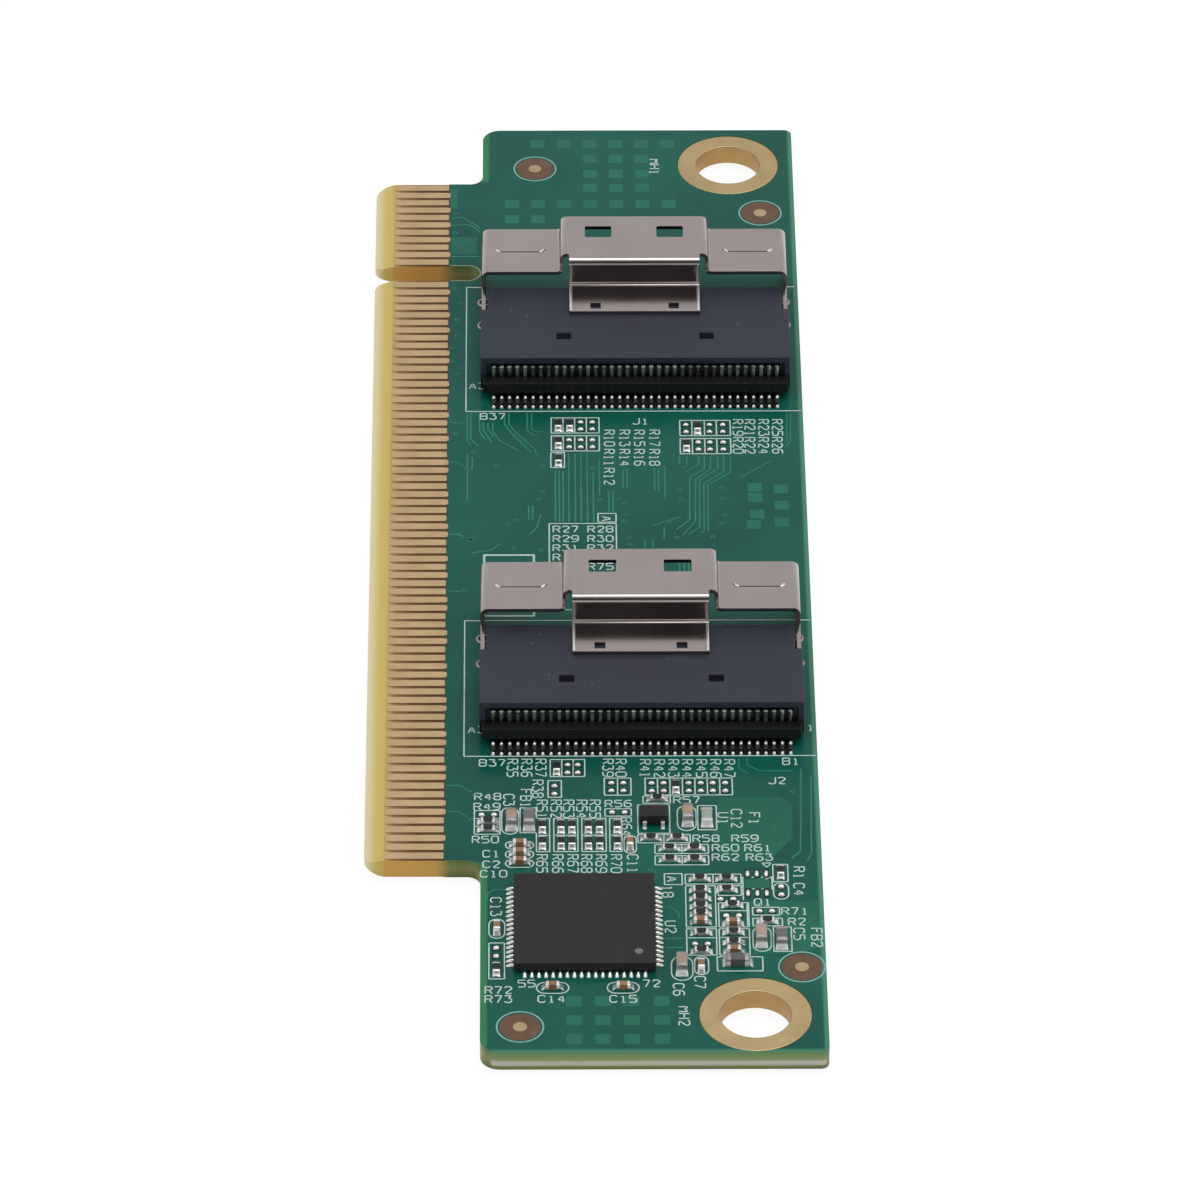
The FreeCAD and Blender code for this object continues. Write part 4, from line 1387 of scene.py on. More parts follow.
    vias: Points = (
        (14.89, -27.94), (15.0, -29.23), (18.08, -27.81), (18.15, -29.17), (18.25, -31.21), (18.0, -32.26),
        (17.3, -33.9), (14.1, -32.05), (14.6, -34.0), (8.4, -25.3), (8.87, -29.2), (10.29, -29.23),
        (10.75, -29.7), (2.57, -31.82), (2.0, -32.3), (-0.72, -34.09), (2.42, -35.21), (4.42, -35.53),
        (4.55, -25.05), (4.54, -28.25), (4.3, -29.2), (1.13, -24.95), (-0.61, -23.2), (-2.0, -20.9),
        (10.8, -31.14), (10.7, -31.95), (11.01, -33.98), (11.1, -34.85), (21.27, -68.26), (21.95, -68.26),
        (21.25, -69.31), (21.93, -69.18), (21.6, -70.3), (22.51, -64.3), (-2.03, 4.11), (-0.99, 4.11),
        (-2.1, 8.0), (-2.16, 5.39), (-1.5, -19.5), (-1.1, -25.3), (-0.9, -34.3), (-1.3, -40.5),
        (-0.35, -64.55), (-0.7, -67.4), (12.35, -73.3), (-2.24, -2.1), (-1.7, -4.0), (-1.93, -6.2),
        (-1.93, -8.3), (-2.31, -9.9), (-2.16, -11.6), (-1.7, -12.4), (-1.86, -13.2),
    )
    root: float = -2.6
    notch: Point = (-0.2, 0.95)
    rim: Place = (0.09, 0.005, 0.1)
    first: float = 1.5
    pitch: float = 1.0
    groups: tuple[tuple[int, int, tuple[int, ...]], ...] = (
        (-1, 71, (1, 4, 6, 9, 10, 13, 14, 17, 20, 23, 24, 27, 28, 31, 32, 35, 37, 40, 41, 44, 45, 48, 49, 52,
                  53, 56, 57, 60, 61, 64, 65, 68)),
        (1, 11, (1, 3, 5, 7, 9)),
    )
    gap: Place = (0.15, 0.19, 0.06)
    neck: Point = (0.08, 0.3)
    fiducials: Points = ((4.11, 14.09), (21.74, 8.01), (2.81, -90.48), (22.71, -84.03))
    fiducial_ring: Point = (1.58, 1.7)
    fiducial_window: float = 1.45
    fiducial_dot: float = 0.5
    land_edge: float = 0.12

    def thieving(self) -> list[Point]:
        """Places of the squares.

        Returns:
            Layout x and y.
        """
        far = [(x, y) for y, start, end in self.far_rows for x in self.far_columns[start:end]]
        near = [(x, y) for y in self.near_rows for x in self.near_columns]
        return far + near + list(self.loose_squares)

    @staticmethod
    def slab(outline: Sequence[Point], layer: Layer) -> Shell:
        """Thin slab over an outline in layout millimetres, as high as its layer."""
        heights = (COAT_TOP - SINK, COAT_TOP + layer.value)
        return MeshShop.loft([[card_point(x, y, z) for x, y in outline] for z in heights])

    @staticmethod
    def discs(name: str, radius: float, layer: Layer, places: Sequence[Point], finish: Finish,
              slot: str = "board_coat") -> None:
        """Lay thin discs of a radius in millimetres on the coat, as high as their layer."""
        NodeTrees.copies(name, MeshShop.plate(radius, radius, layer.value), places, finish, slot)

    def contact_roots(self) -> None:
        """End the edge contacts in dark patches of painted shade between them, and let some run on a little
        under the coat.
        """
        half_x, half_y, back = self.gap
        gap = MeshShop.plate(half_x, half_y, Layer.POUR.value, power=2.2, count=12)
        root_shade_places = [(self.root - back, side * (self.first + (index + 0.5) * self.pitch))
                for side, count, _ in self.groups for index in range(count - 1)]
        NodeTrees.copies("contact_root_gaps", gap, root_shade_places, ROOT_SHADE, "board_coat")
        wide = [(self.root, side * (self.first + index * self.pitch))
                for side, _, grounds in self.groups for index in grounds]
        neck = MeshShop.plate(*self.neck, Layer.POUR.value, power=3.0, count=14)
        NodeTrees.copies("contact_root_necks", neck, wide, GOLD, "gold")

    def notch_rim(self) -> None:
        """Bare the laminate in a thin line around the round end of the key notch."""
        end, half = self.notch
        width, clear, beyond = self.rim
        reach = half + width / 2 + clear
        steps = 16
        turns = [math.pi * (0.5 - step / steps) for step in range(steps + 1)]
        arc = [(end - half + reach * math.cos(turn), reach * math.sin(turn)) for turn in turns]
        start = self.root + beyond
        path = [(start, reach), *arc, (start, -reach)]
        NodeTrees.strips("notch_rim", [path], width, Layer.TRACE, NOTCH_RIM)

    def build(self) -> None:
        """Lay the copper and dress the board itself."""
        MeshShop.repaint("circuit_board", COAT)
        half = self.square / 2
        square = MeshShop.plate(half, half, Layer.POUR.value, power=14.0, count=16)
        NodeTrees.copies("thieving_squares", square, self.thieving(), COVERED_COPPER, "board_coat")
        slabs = [self.slab(outline, Layer.POUR) for outline in self.pours]
        MeshShop.dress(MeshShop.from_parts("copper_areas", slabs), COVERED_POUR, "board_coat")
        straight = [((x, start), (x, end)) for columns, start, end in self.uprights for x in columns]
        width, bend = self.trace
        NodeTrees.strips("coated_traces", [*self.traces, *straight], width, Layer.TRACE, COVERED_TRACE, bend)
        land, plug = self.via
        self.discs("via_lands", land, Layer.INK, self.vias, VIA_LAND)
        self.discs("via_holes", plug, Layer.LAND, self.vias, VIA_HOLE)
        inner, outer = self.fiducial_ring
        top = Layer.INK.value
        ring = MeshShop.hoop(((inner, -SINK), (outer, -SINK), (outer, top), (inner, top)), count=40)
        NodeTrees.copies("fiducial_rings", ring, self.fiducials, PALE_RING, "board_coat")
        self.discs("fiducial_windows", self.fiducial_window, Layer.POUR, self.fiducials, BARE_LAMINATE)
        self.discs("fiducial_dots", self.fiducial_dot, Layer.LAND, self.fiducials, FIDUCIAL_GOLD, "gold")
        lands = MeshShop.softened("mounting_hole_plating", "mounting_hole_lands", self.land_edge)
        MeshShop.dress(lands, RING_GOLD, "gold")
        for node in ("edge_contacts_top", "edge_contacts_bottom"):
            MeshShop.repaint(node, GOLD)
        self.contact_roots()
        self.notch_rim()


@dataclass
class CableSocket:
    """A cable socket: folded shell, moulded housing and two rows of contacts.

    Sizes are in millimetres. Depths count back from the mouth and heights up from the coat.

    Attributes:
        name: Start of its nodes' names.
        mouth: Layout y of the shell's mouth.
        middle: Layout x of its middle.
        count: Contacts in a row.
        pitch: Step from contact to contact.
        width: Width of a contact.
        thickness: Thickness of a contact.
        bend: Radius at a contact's bends.
        upper_path: Depth and height along an upper contact.
        lower_path: The same for a lower contact.
        toe_depth: Depth of the solder at the contacts' toes.
        toe: Rings of that solder: half width, half length, height and power.
        knee_depth: Depth of the bright tin beads on the contacts' knees, painted highlights.
        knee_up: Height at which a knee starts.
        knee: Rings of a knee.
        comb: Width, start, end and height of the black ribs between the feet, painted shade there.
        pocket: Distance of a top pocket from the middle, its depth and its height.
        pocket_shade_plate: Width, length and height of the black plate on a pocket's floor, painted shade.
        lances: Distance of each lance end from the middle, and its turn in degrees.
        lance: Depth and height of the lance ends.
        lip: Places along a lance's lip with half its width there.
        leg_spread: Distance of the solder legs from the middle.
        legs: Depths of the legs.
        collar: Radius and height around the section of a leg's solder.
        strap: Distance of the rear strap's edge beads, tin painted highlights, from the middle, their depth
            and their height.
        strap_flange: Places along the flange's edge with half its width there.
        strap_wall: The same up the wall's edge.
        edge_rise: Height of an edge bead and of a lip.
        shoulder: Share of that height at the sides.
        shell_edge: Rounding of the shell's edges and of its relief notches.
        housing_edge: Rounding of the housing's edges.
    """

    name: str
    mouth: float
    middle: float = 11.7
    count: int = 37
    pitch: float = 0.6
    width: float = 0.28
    thickness: float = 0.15
    bend: float = 0.1
    upper_path: Points = (
        (6.4, 2.325), (14.825, 2.325), (14.825, 0.43), (16.25, 0.43), (16.6, 0.085), (17.05, 0.085))
    lower_path: Points = ((6.4, 1.2), (6.9, 1.36), (8.0, 1.06), (13.2, 0.08))
    toe_depth: float = 16.95
    toe: Rings = (
        (0.16, 0.18, -SINK, 2.6), (0.16, 0.17, 0.08, 2.6), (0.13, 0.13, 0.15, 2.4), (0.06, 0.06, 0.19, 2.0))
    knee_depth: float = 16.2
    knee_up: float = 0.3
    knee: Rings = (
        (0.08, 0.12, 0.0, 2.0), (0.14, 0.22, 0.06, 2.2), (0.15, 0.25, 0.13, 2.2), (0.12, 0.19, 0.21, 2.2),
        (0.05, 0.08, 0.25, 2.0))
    comb: Level = (0.3, 15.5, 17.12, 0.16)
    pocket: Place = (5.45, 12.225, 2.9)
    pocket_shade_plate: Place = (1.06, 0.81, 0.02)
    lances: Points = ((-10.465, -45.0), (-7.1, 45.0), (7.1, -45.0), (10.465, 45.0))
    lance: Point = (2.93, 4.6)
    lip: Points = ((-0.23, 0.05), (-0.12, 0.12), (0.12, 0.12), (0.23, 0.05))
    leg_spread: float = 11.58
    legs: tuple[float, ...] = (3.35, 6.35)
    collar: Points = (
        (0.32, -SINK), (0.52, -SINK), (0.505, 0.055), (0.46, 0.092), (0.38, 0.092), (0.335, 0.055))
    strap: Place = (4.89, 5.9, 3.6)
    strap_flange: Points = ((-3.5, 0.04), (-3.4, 0.1), (-0.4, 0.1), (-0.25, 0.04))
    strap_wall: Points = ((0.3, 0.02), (0.4, 0.05), (1.75, 0.05), (1.85, 0.02))
    edge_rise: Point = (0.05, 0.09)
    shoulder: float = 0.2
    shell_edge: Point = (0.05, 0.3)
    housing_edge: float = 0.05

    def columns(self, shift: float = 0.0) -> list[float]:
        """Layout x of the contacts, or of places that lie a share of the pitch beside them."""
        first = self.middle - (self.count - 1) * self.pitch / 2
        return [first + (index + shift) * self.pitch for index in range(self.count)]

    def beside(self, across: float, *depths: float) -> list[Point]:
        """Layout places on both sides of the middle, at some depths."""
        return [(self.middle + side * across, self.mouth - depth) for side in SIDES for depth in depths]

    def spread(self, role: str, source: Piece, places: Sequence[Sequence[float]], finish: Finish,
               slot: str, up: float = 0.0) -> None:
        """Copy a small piece to its places on this socket, named for its role."""
        NodeTrees.copies(f"{self.name}_{role}", source, places, finish, slot, up=up)

    def contacts(self, role: str, path: Sequence[Point]) -> None:
        """Bend one row of contacts.

        Args:
            role: Which row it is.
            path: Depth and height from the tip to the foot.
        """
        first = self.columns()[0]
        points = [card_point(first, self.mouth - depth, COAT_TOP + up) for depth, up in path]
        mesh = raw_mesh(role, points, [(index, index + 1) for index in range(len(points) - 1)])
        sizes = {"Count": self.count, "Pitch": self.pitch * MM, "Width": self.width * MM,
                 "Thickness": self.thickness * MM, "Corner": self.bend * MM}
        node = f"{self.name}_{role}"
        piece = NodeTrees.grow(f"{node}_bent", mesh, NodeTrees.contact_row(), sizes, CONTACT, "tin")
        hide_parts(node)

    def feet(self) -> None:
        """Solder the contacts' toes, put bright tin beads on their knees as painted highlights and set black
        ribs of painted shade between them.
        """
        toes = [(x, self.mouth - self.toe_depth) for x in self.columns()]
        toe = MeshShop.stack(self.toe, count=14, smooth=True)
        self.spread("toe_solder", toe, toes, TIN, "tin")
        knees = [(x, self.mouth - self.knee_depth) for x in self.columns()]
        knee = MeshShop.stack(self.knee, count=14, smooth=True)
        self.spread("rounded_knees", knee, knees, TIN, "tin", self.knee_up)
        # Painted shade: black ribs between the feet stand in for the shadow there.
        width, start, end, height = self.comb
        ribs = [(x, self.mouth - (start + end) / 2) for x in self.columns(0.5)[:-1]]
        rib = MeshShop.block((width, end - start, height), edge=0.04)
        self.spread("comb", rib, ribs, SHADE_BLACK, "socket_plastic")

    def ridge(self, spine: Sequence[Point], rise: float) -> list[list[Vector]]:
        """Domed sections along x, from places with half the width there."""
        return [MeshShop.arch(run, half, rise, self.shoulder) for run, half in spine]

    def trim(self) -> None:
        """Black out the top pockets with plates of painted shade, raise the lances' lips in bright tin as a
        painted highlight and solder the shell's legs.
        """
        # Painted shade: black plates on the pocket floors darken the recess.
        across, depth, up = self.pocket
        floor = MeshShop.block(self.pocket_shade_plate, edge=0.005)
        self.spread("pocket_floors", floor, self.beside(across, depth), SHADE_BLACK, "socket_plastic", up)
        depth, up = self.lance
        lip = MeshShop.from_parts("source", [MeshShop.loft(self.ridge(self.lip, self.edge_rise[1]))], True)
        lips = [(self.middle + x, self.mouth - depth, math.radians(turn)) for x, turn in self.lances]
        # The raised lips take bright tin instead of steel: a painted highlight at the lance ends.
        self.spread("lance_lips", lip, lips, TIN, "shell_steel", up)
        collar = MeshShop.hoop(self.collar, count=32, smooth=True)
        self.spread("leg_solder", collar, self.beside(self.leg_spread, *self.legs), STEEL, "tin")

    def strap_edges(self) -> None:
        """Lay bright tin beads along the rear strap's edges, down its wall and out along its flange, as
        painted highlights.
        """
        across, depth, up = self.strap
        rise = self.edge_rise[0]
        level = [[Vector((point.y, point.x, point.z)) for point in arch]
                 for arch in self.ridge(self.strap_flange, rise)]
        upright = [[Vector((point.y, -point.z, point.x)) for point in arch]
                   for arch in self.ridge(self.strap_wall, rise)]
        edge = MeshShop.from_parts("source", [MeshShop.loft(level), MeshShop.loft(upright)], True)
        self.spread("strap_edges", edge, self.beside(across, depth), TIN, "shell_steel", up)

    def build(self) -> None:
        """Build and dress the whole socket."""
        shell = MeshShop.softened(f"{self.name}_shell", f"{self.name}_shell_folded", *self.shell_edge)
        MeshShop.dress(shell, STEEL, "shell_steel")
        housing = MeshShop.softened(f"{self.name}_housing", f"{self.name}_housing_moulded", self.housing_edge)
        MeshShop.dress(housing, HOUSING, "socket_plastic")
        self.contacts("upper_contacts", self.upper_path)
        self.contacts("lower_contacts", self.lower_path)
        self.feet()
        self.trim()
        self.strap_edges()


@dataclass
class ClockChip:
    """The square chip with its soldered leads.

    Attributes:
        middle: Layout place of its middle.
        half: Half its side.
        height: Height of its top above the coat.
        edge: Rounding of its edges.
        count: Leads on each side.
        pitch: Step from lead to lead.
        lead: Place along a lead out from the chip's edge, with its height and half its width there.
        shoulder: Share of a lead's height at its sides.
        dot: Place of the first-lead dot from the middle.
        dot_radius: Radius of that dot.
        dot_depth: Foot and top of the dot from the chip's top.
    """

    middle: Point = (7.4, -79.6)
    half: float = 5.0
    height: float = 0.9
    edge: float = 0.06
    count: int = 18
    pitch: float = 0.5
    lead: tuple[Place, ...] = (
        (-0.4, 0.2, 0.13), (0.0, 0.2, 0.135), (0.1, 0.23, 0.145), (0.25, 0.2, 0.15), (0.4, 0.13, 0.145),
        (0.52, 0.06, 0.12), (0.58, 0.02, 0.08))
    shoulder: float = 0.3
    dot: Point = (3.81, -3.7)
    dot_radius: float = 0.3
    dot_depth: Point = (-0.05, 0.004)

    def lead_places(self) -> list[Place]:
        """Places of the leads round the chip.

        Returns:
            Layout x and y with the turn of each lead.
        """
        places = []
        for quarter in range(4):
            turn = quarter * math.pi / 2
            for index in range(self.count):
                along = (index - (self.count - 1) / 2) * self.pitch
                x = self.half * math.cos(turn) - along * math.sin(turn)
                y = self.half * math.sin(turn) + along * math.cos(turn)
                places.append((self.middle[0] + x, self.middle[1] + y, turn))
        return places

    def build(self) -> None:
        """Build and dress the chip."""
        body = MeshShop.softened("clock_chip_body", "clock_chip_package", self.edge)
        MeshShop.dress(body, CHIP, "chip_plastic")
        arches = [MeshShop.arch(run, wide, rise, self.shoulder) for run, rise, wide in self.lead]
        lead = MeshShop.from_parts("source", [MeshShop.loft(arches)], True)
        leads = NodeTrees.copies("clock_chip_soldered_leads", lead, self.lead_places(), TIN, "tin")
        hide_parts("clock_chip_leads")
        MeshShop.repaint("clock_chip_thermal_pad", TIN)
        foot, top = self.dot_depth
        dot = MeshShop.plate(self.dot_radius, self.dot_radius, top, count=28, foot=foot)
        place = (self.middle[0] + self.dot[0], self.middle[1] + self.dot[1])
        NodeTrees.copies("clock_chip_first_lead_dot", dot, [place], CHIP_MARK, "chip_plastic", up=self.height)


@dataclass(frozen=True)
class ChipKind:
    """One size of chip part.

    Attributes:
        body_node: CAD node of its bodies.
        trim_node: CAD node of its terminals or glazes.
        size: Length, width and height.
        terminal: Length of an end terminal.
        body: Finish of the body, or of the glaze.
        slot: The record's slot of the body.
        body_length: Length of the CAD body.
        fillet: Reach of the solder beyond the end.
        bright_under: Length under which the ends are bright.
        edge: Radius of a core's top edge.
        glazed_less: How much less than the part a glazed core measures.
        bare_less: The same for a bare core, from the length between the terminals.
        film: Added length and width of a glaze film, and its thickness.
        film_edge: Radius of the film's top edge.
        film_sunk: Depth of the film's foot under the part's top.
        solder_rise: Greatest height of the solder.
    """

    body_node: str
    trim_node: str
    size: Place
    terminal: float
    body: Finish
    slot: str
    body_length: float
    fillet: float = 0.3
    bright_under: ClassVar[float] = 1.5
    edge: ClassVar[float] = 0.04
    glazed_less: ClassVar[Place] = (0.06, 0.03, 0.05)
    bare_less: ClassVar[Place] = (-0.04, 0.03, 0.015)
    film: ClassVar[Place] = (0.2, -0.01, 0.07)
    film_edge: ClassVar[float] = 0.03
    film_sunk: ClassVar[float] = 0.06
    solder_rise: ClassVar[float] = 0.6

    def places(self) -> list[Place]:
        """Places of the CAD bodies.

        Returns:
            Layout x and y with the turn of each part.
        """
        found = []
        for low, high in MeshShop.solid_boxes(self.body_node):
            middle = (low + high) / (2 * MM)
            run_x, run_y = (high.x - low.x) / MM, (high.y - low.y) / MM
            across = abs(run_x - self.body_length) + abs(run_y - self.size[1])
            along = abs(run_y - self.body_length) + abs(run_x - self.size[1])
            lie = Lie.ACROSS if across < along else Lie.ALONG
            found.append((middle.x + CARD_MIDDLE[0], middle.y + CARD_MIDDLE[1], lie.value))
        return found

    def ends(self) -> Piece:
        """End terminals with their solder, at the origin.

        Returns:
            The source piece.
        """
        length, width, height = self.size
        half, reach = length / 2, self.fillet
        rise = min(height, self.solder_rise)
        # Place along the part, height, share of the width and share of the height at the sides.
        levels = (
            (half - self.terminal, height, 1.0, 0.93), (half - 0.1, height, 1.0, 0.93),
            (half - 0.03, height * 0.96, 1.0, 0.9), (half, height * 0.86, 1.0, 0.85),
            (half + 0.02, rise * 0.75, 1.02, 0.75), (half + 0.3 * reach, rise * 0.46, 1.06, 0.6),
            (half + 0.65 * reach, rise * 0.2, 1.12, 0.5), (half + reach, 0.03, 1.1, 0.4))
        parts = [MeshShop.loft([MeshShop.arch(side * run, spread * width / 2, up, shoulder)
                                for run, up, spread, shoulder in levels]) for side in SIDES]
        return MeshShop.from_parts("source", parts, True)

    def build(self) -> None:
        """Build and dress every part of this size."""
        length, width, height = self.size
        name = self.body_node.rsplit("_", 1)[0]
        places = self.places()
        glazed = self.trim_node.endswith("glazes")
        inner = length - 2 * self.terminal
        less_x, less_y, less_z = self.glazed_less if glazed else self.bare_less
        core = ((length if glazed else inner) - less_x, width - less_y, height - less_z)
        block = MeshShop.block(core, self.edge)
        cores = NodeTrees.copies(f"{name}_cores", block, places, ALUMINA if glazed else self.body, self.slot)
        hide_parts(self.body_node)
        ending = TIN if length < self.bright_under else TERMINAL
        caps = NodeTrees.copies(f"{name}_soldered_ends", self.ends(), places, ending, "tin")
        if not glazed:
            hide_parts(self.trim_node)
            return
        more_x, more_y, thickness = self.film
        film = MeshShop.block((inner + more_x, width + more_y, thickness), self.film_edge)
        films = NodeTrees.copies(f"{name}_black_films", film, places, self.body, "resistor_glaze",
                                 up=height - self.film_sunk)
        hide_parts(self.trim_node)


@dataclass
class ChipParts:
    """All chip parts, the small regulator and the bare lands.

    Attributes:
        kinds: Sizes of chip part.
        bare_across: Bare footprints whose length lies along x.
        bare_along: Bare footprints whose length lies down the card.
        bare_pads: Single bare pads.
        pad_size: Scale of a single pad beside a footprint's.
        half_span: Distance of a footprint's pads from its middle.
        window: Width, length and height of the dark land under a pad, painted shade.
        dome: Rings of a pad's solder: half width, half length, height and power.
        body_edge: Rounding of the regulator's body.
        lead_edge: Rounding of its leads.
    """

    kinds: tuple[ChipKind, ...] = (
        ChipKind("resistor_bodies", "resistor_glazes", (1.0, 0.5, 0.35), 0.25, GLAZE, "plated_ceramic", 1.0),
        ChipKind("small_capacitor_bodies", "small_capacitor_terminals", (1.0, 0.5, 0.5), 0.22, BROWN_CERAMIC,
                 "capacitor_ceramic", 0.56),
        ChipKind("medium_capacitor_bodies", "medium_capacitor_terminals", (1.6, 0.8, 0.8), 0.35,
                 TAUPE_CERAMIC, "capacitor_ceramic", 0.9),
        ChipKind("dark_capacitor_body", "dark_capacitor_terminals", (1.6, 0.8, 0.7), 0.3, DARK_CERAMIC,
                 "dark_ceramic", 1.0),
        ChipKind("ferrite_bead_bodies", "ferrite_bead_terminals", (1.6, 0.8, 0.75), 0.35, FERRITE,
                 "ferrite", 0.9),
        ChipKind("fuse_body", "fuse_terminals", (1.6, 0.8, 0.45), 0.35, FUSE_BODY, "fuse_plastic", 0.9),
    )
    bare_across: Points = (
        (0.53, -66.9), (9.92, -66.65), (15.65, -81.47), (17.55, -76.5), (17.92, -78.35), (20.28, -77.85),
    )
    bare_along: Points = (
        (7.49, -19.92), (8.38, -19.92), (6.61, -22.2), (7.49, -22.2), (8.38, -22.2), (15.49, -20.28),
        (17.28, -20.28), (18.29, -20.28), (16.4, -22.53), (17.28, -22.53), (18.29, -22.53), (6.28, -61.6),
        (7.02, -61.6), (5.33, -64.05), (9.44, -63.71), (10.32, -63.71), (12.35, -63.74), (13.22, -63.74),
        (15.02, -63.74), (15.9, -63.74), (16.77, -63.74), (17.67, -63.74), (21.44, -75.57), (1.15, -82.32),
    )
    bare_pads: Points = (
        (19.07, -73.64), (19.73, -73.64), (20.4, -73.64), (19.07, -75.83), (19.73, -75.83), (20.4, -75.83),
    )
    pad_size: Place = (0.66, 1.7, 1.0)
    half_span: float = 0.45
    window: Place = (0.62, 0.62, 0.016)
    dome: Rings = (
        (0.24, 0.2, -SINK, 2.8), (0.24, 0.2, 0.03, 2.8), (0.21, 0.17, 0.09, 2.6), (0.14, 0.11, 0.14, 2.4),
        (0.06, 0.05, 0.16, 2.0))
    body_edge: float = 0.07
    lead_edge: float = 0.03

    def bare_lands(self) -> None:
        """Lay the soldered lands that carry no part, each on a dark land of painted shade."""
        run = self.half_span
        pads = [(x + side * run, y) for x, y in self.bare_across for side in SIDES]
        pads += [(x, y + side * run) for x, y in self.bare_along for side in SIDES]
        sizes = [FULL_SIZE] * len(pads) + [self.pad_size] * len(self.bare_pads)
        pads += self.bare_pads
        base = MeshShop.block(self.window, edge=0.004)
        NodeTrees.copies("bare_land_windows", base, pads, PAD_SHADE, "board_coat", sizes)
        dome = MeshShop.stack(self.dome, count=20, smooth=True)
        NodeTrees.copies("bare_soldered_lands", dome, pads, TIN, "tin", sizes)

    def build(self) -> None:
        """Build and dress the chip parts."""
        for kind in self.kinds:
            kind.build()
        self.bare_lands()
        body = MeshShop.softened("regulator_body", "regulator_package", self.body_edge)
        MeshShop.dress(body, CHIP, "chip_plastic")
        leads = MeshShop.softened("regulator_leads", "regulator_bent_leads", self.lead_edge)
        MeshShop.dress(leads, TIN, "tin")


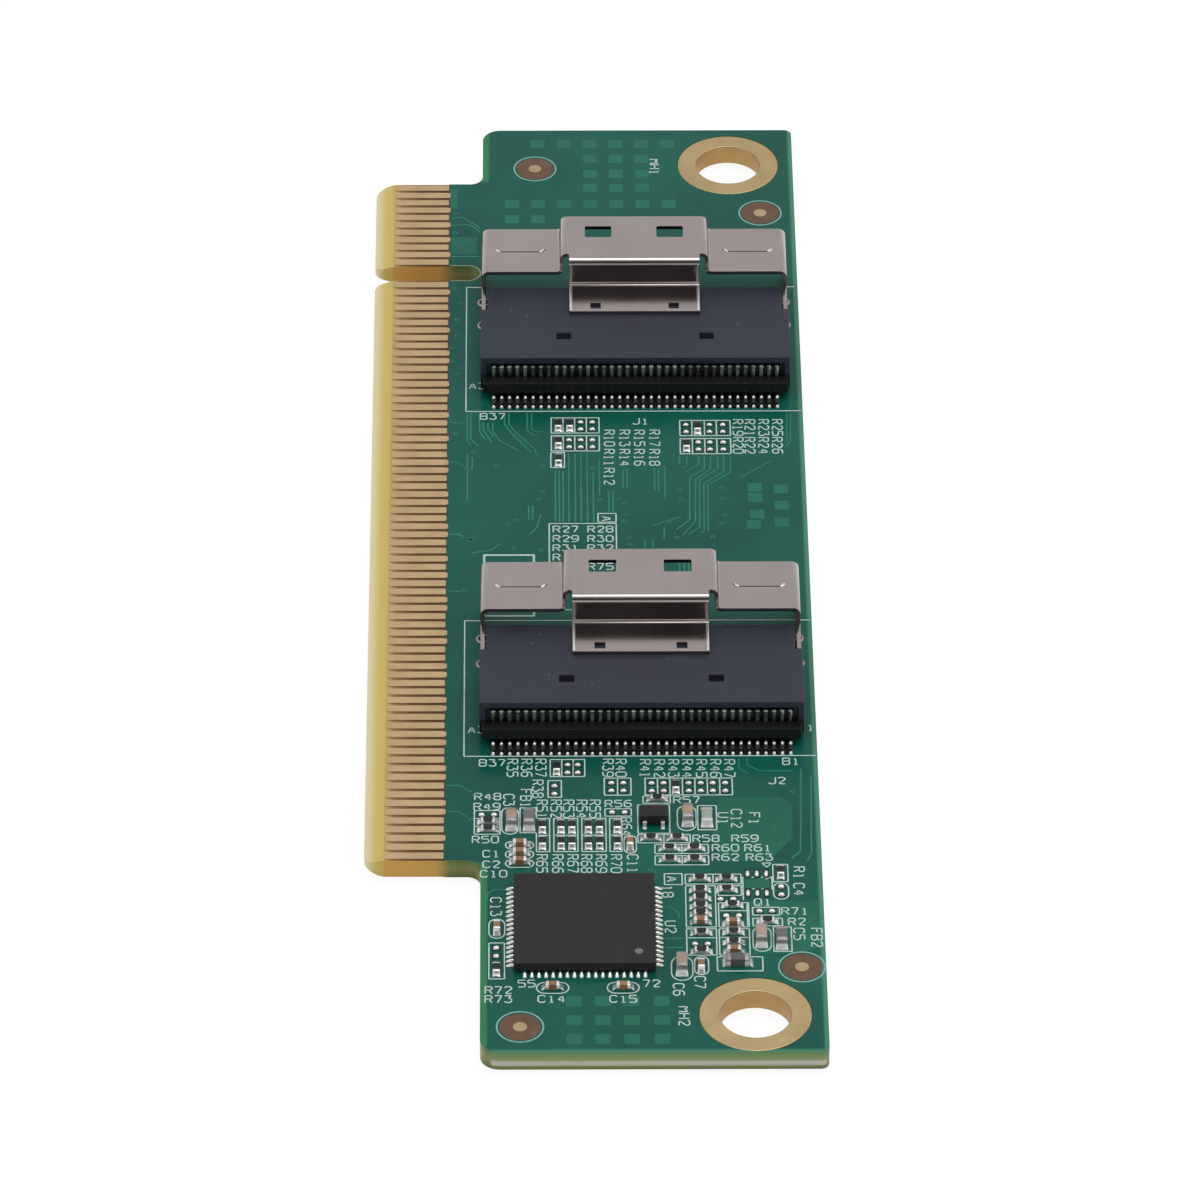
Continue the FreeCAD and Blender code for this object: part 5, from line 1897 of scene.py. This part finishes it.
@dataclass
class Studio:
    """Floor, soft light and the camera.

    Attributes:
        eye: Place of the camera in metres.
        target: Point that it looks at.
        roll: Turn about its own axis in radians.
        lens: Focal length in millimetres.
        sensor: Width of its sensor in millimetres.
        clip: Nearest and farthest distance that it sees.
        sky: Upward shares of a direction with the sky's grey.
        dark_way: Direction of the dark board on the front side.
        dark_reach: Cosines at the soft rim of that board.
        dark_grey: Its grey.
        floor_half: Half the floor's side in metres.
        floor_level: Height of the floor.
        floor_grey: Grey of the floor.
        floor_glow: Share of the plain white that the camera and mirrors see on it, and its strength.
        lamp_place: Place of the lamp in metres.
        lamp_side: Side of its square face.
        lamp_power: Power in watts.
    """

    eye: Place = (-0.0048415, -0.549061, 0.421645)
    target: Place = (0.000757, -0.004697, 0.0016)
    roll: float = math.radians(0.215)
    lens: float = 278.2
    sensor: float = 36.0
    clip: Point = (0.02, 50.0)
    sky: Points = ((0.0, 0.9), (0.3, 0.82), (0.6, 0.8), (0.8, 0.7), (1.0, 0.6))
    dark_way: Place = (-0.008, -0.7917, 0.6109)
    dark_reach: Point = (0.897, 0.972)
    dark_grey: float = 0.05
    floor_half: float = 4.0
    floor_level: float = -0.0004
    floor_grey: float = 0.9
    floor_glow: Point = (0.86, 1.07)
    lamp_place: Place = (0.12, 0.1, 0.95)
    lamp_side: float = 0.5
    lamp_power: float = 2.4

    @staticmethod
    def grey(value: float) -> Tone:
        """Plain grey."""
        return value, value, value, 1.0

    def floor(self) -> None:
        """Lay a plain pale floor that keeps a faint shadow."""
        half = self.floor_half
        corners = [(x * half, y * half, self.floor_level) for x, y in ((-1, -1), (1, -1), (1, 1), (-1, 1))]
        mesh = raw_mesh("floor", corners, faces=[(0, 1, 2, 3)])
        shade = bpy.data.materials.new("pale_floor")
        bench = NodeBench.emptied(shade)
        path = bench.add("ShaderNodeLightPath").outputs
        seen = bench.either(path["Is Camera Ray"], path["Is Glossy Ray"])
        seen = bench.either(seen, path["Is Transmission Ray"])
        share, strength = self.floor_glow
        matte = bench.add("ShaderNodeBsdfDiffuse", {"Color": self.grey(self.floor_grey)})
        glow = bench.add("ShaderNodeEmission", {"Color": self.grey(1.0), "Strength": strength})
        mix = bench.add("ShaderNodeMixShader", {
            0: bench.both(seen, share), 1: matte.outputs[0], 2: glow.outputs[0]})
        bench.add("ShaderNodeOutputMaterial", {"Surface": mix.outputs[0]})
        mesh.materials.append(shade)
        put("floor", mesh)

    def world(self) -> None:
        """Surround the card with a soft sky and one dark board in front, as a studio has."""
        sky = bpy.data.worlds.new("studio")
        bench = NodeBench.emptied(sky)
        way = bench.add("ShaderNodeTexCoord").outputs["Generated"]
        split = bench.add("ShaderNodeSeparateXYZ", {0: way})
        bright = bench.ramp(split.outputs["Z"], [(at, self.grey(value)) for at, value in self.sky])
        facing = bench.add("ShaderNodeVectorMath", {0: way, 1: self.dark_way}, operation="DOT_PRODUCT")
        start, end = self.dark_reach
        share = bench.add("ShaderNodeMapRange", {
            "Value": facing.outputs["Value"], "From Min": start, "From Max": end},
            interpolation_type="SMOOTHSTEP")
        mixed = bench.blend(share.outputs["Result"], bright, self.grey(self.dark_grey))
        back = bench.add("ShaderNodeBackground", {"Color": mixed, "Strength": 1.0})
        bench.add("ShaderNodeOutputWorld", {"Surface": back.outputs[0]})
        bpy.context.scene.world = sky

    def lamp(self) -> None:
        """Hang a soft lamp that faces the card."""
        data = bpy.data.lights.new("key", "AREA")
        data.size = self.lamp_side
        data.energy = self.lamp_power
        made = put("key", data)
        made.location = self.lamp_place
        made.rotation_euler = (-Vector(self.lamp_place)).to_track_quat("-Z", "Y").to_euler()

    def camera(self) -> None:
        """Set the camera at the picture's angle."""
        forward = (Vector(self.target) - Vector(self.eye)).normalized()
        side = forward.cross(Vector((0, 0, 1))).normalized()
        up = side.cross(forward)
        right = side * math.cos(self.roll) + up * math.sin(self.roll)
        top = up * math.cos(self.roll) - side * math.sin(self.roll)
        data = bpy.data.cameras.new("camera")
        data.lens = self.lens
        data.sensor_width = self.sensor
        data.clip_start, data.clip_end = self.clip
        made = put("camera", data)
        turn = Matrix((right, top, -forward)).transposed().to_4x4()
        made.matrix_world = Matrix.Translation(Vector(self.eye)) @ turn
        bpy.context.scene.camera = made

    def build(self) -> None:
        """Set up floor, light and camera."""
        bpy.context.scene.view_settings.view_transform = "Standard"
        self.floor()
        self.world()
        self.lamp()
        self.camera()


def main() -> None:
    """Build the card's looks in order."""
    logging.basicConfig(level=logging.INFO, format="%(name)s %(message)s")
    BoardCopper().build()
    BoardInk().build()
    for name, mouth in SOCKET_MOUTHS.items():
        CableSocket(name, mouth).build()
    ClockChip().build()
    ChipParts().build()
    Studio().build()
    bpy.context.view_layer.update()


if __name__ == "__main__":
    main()
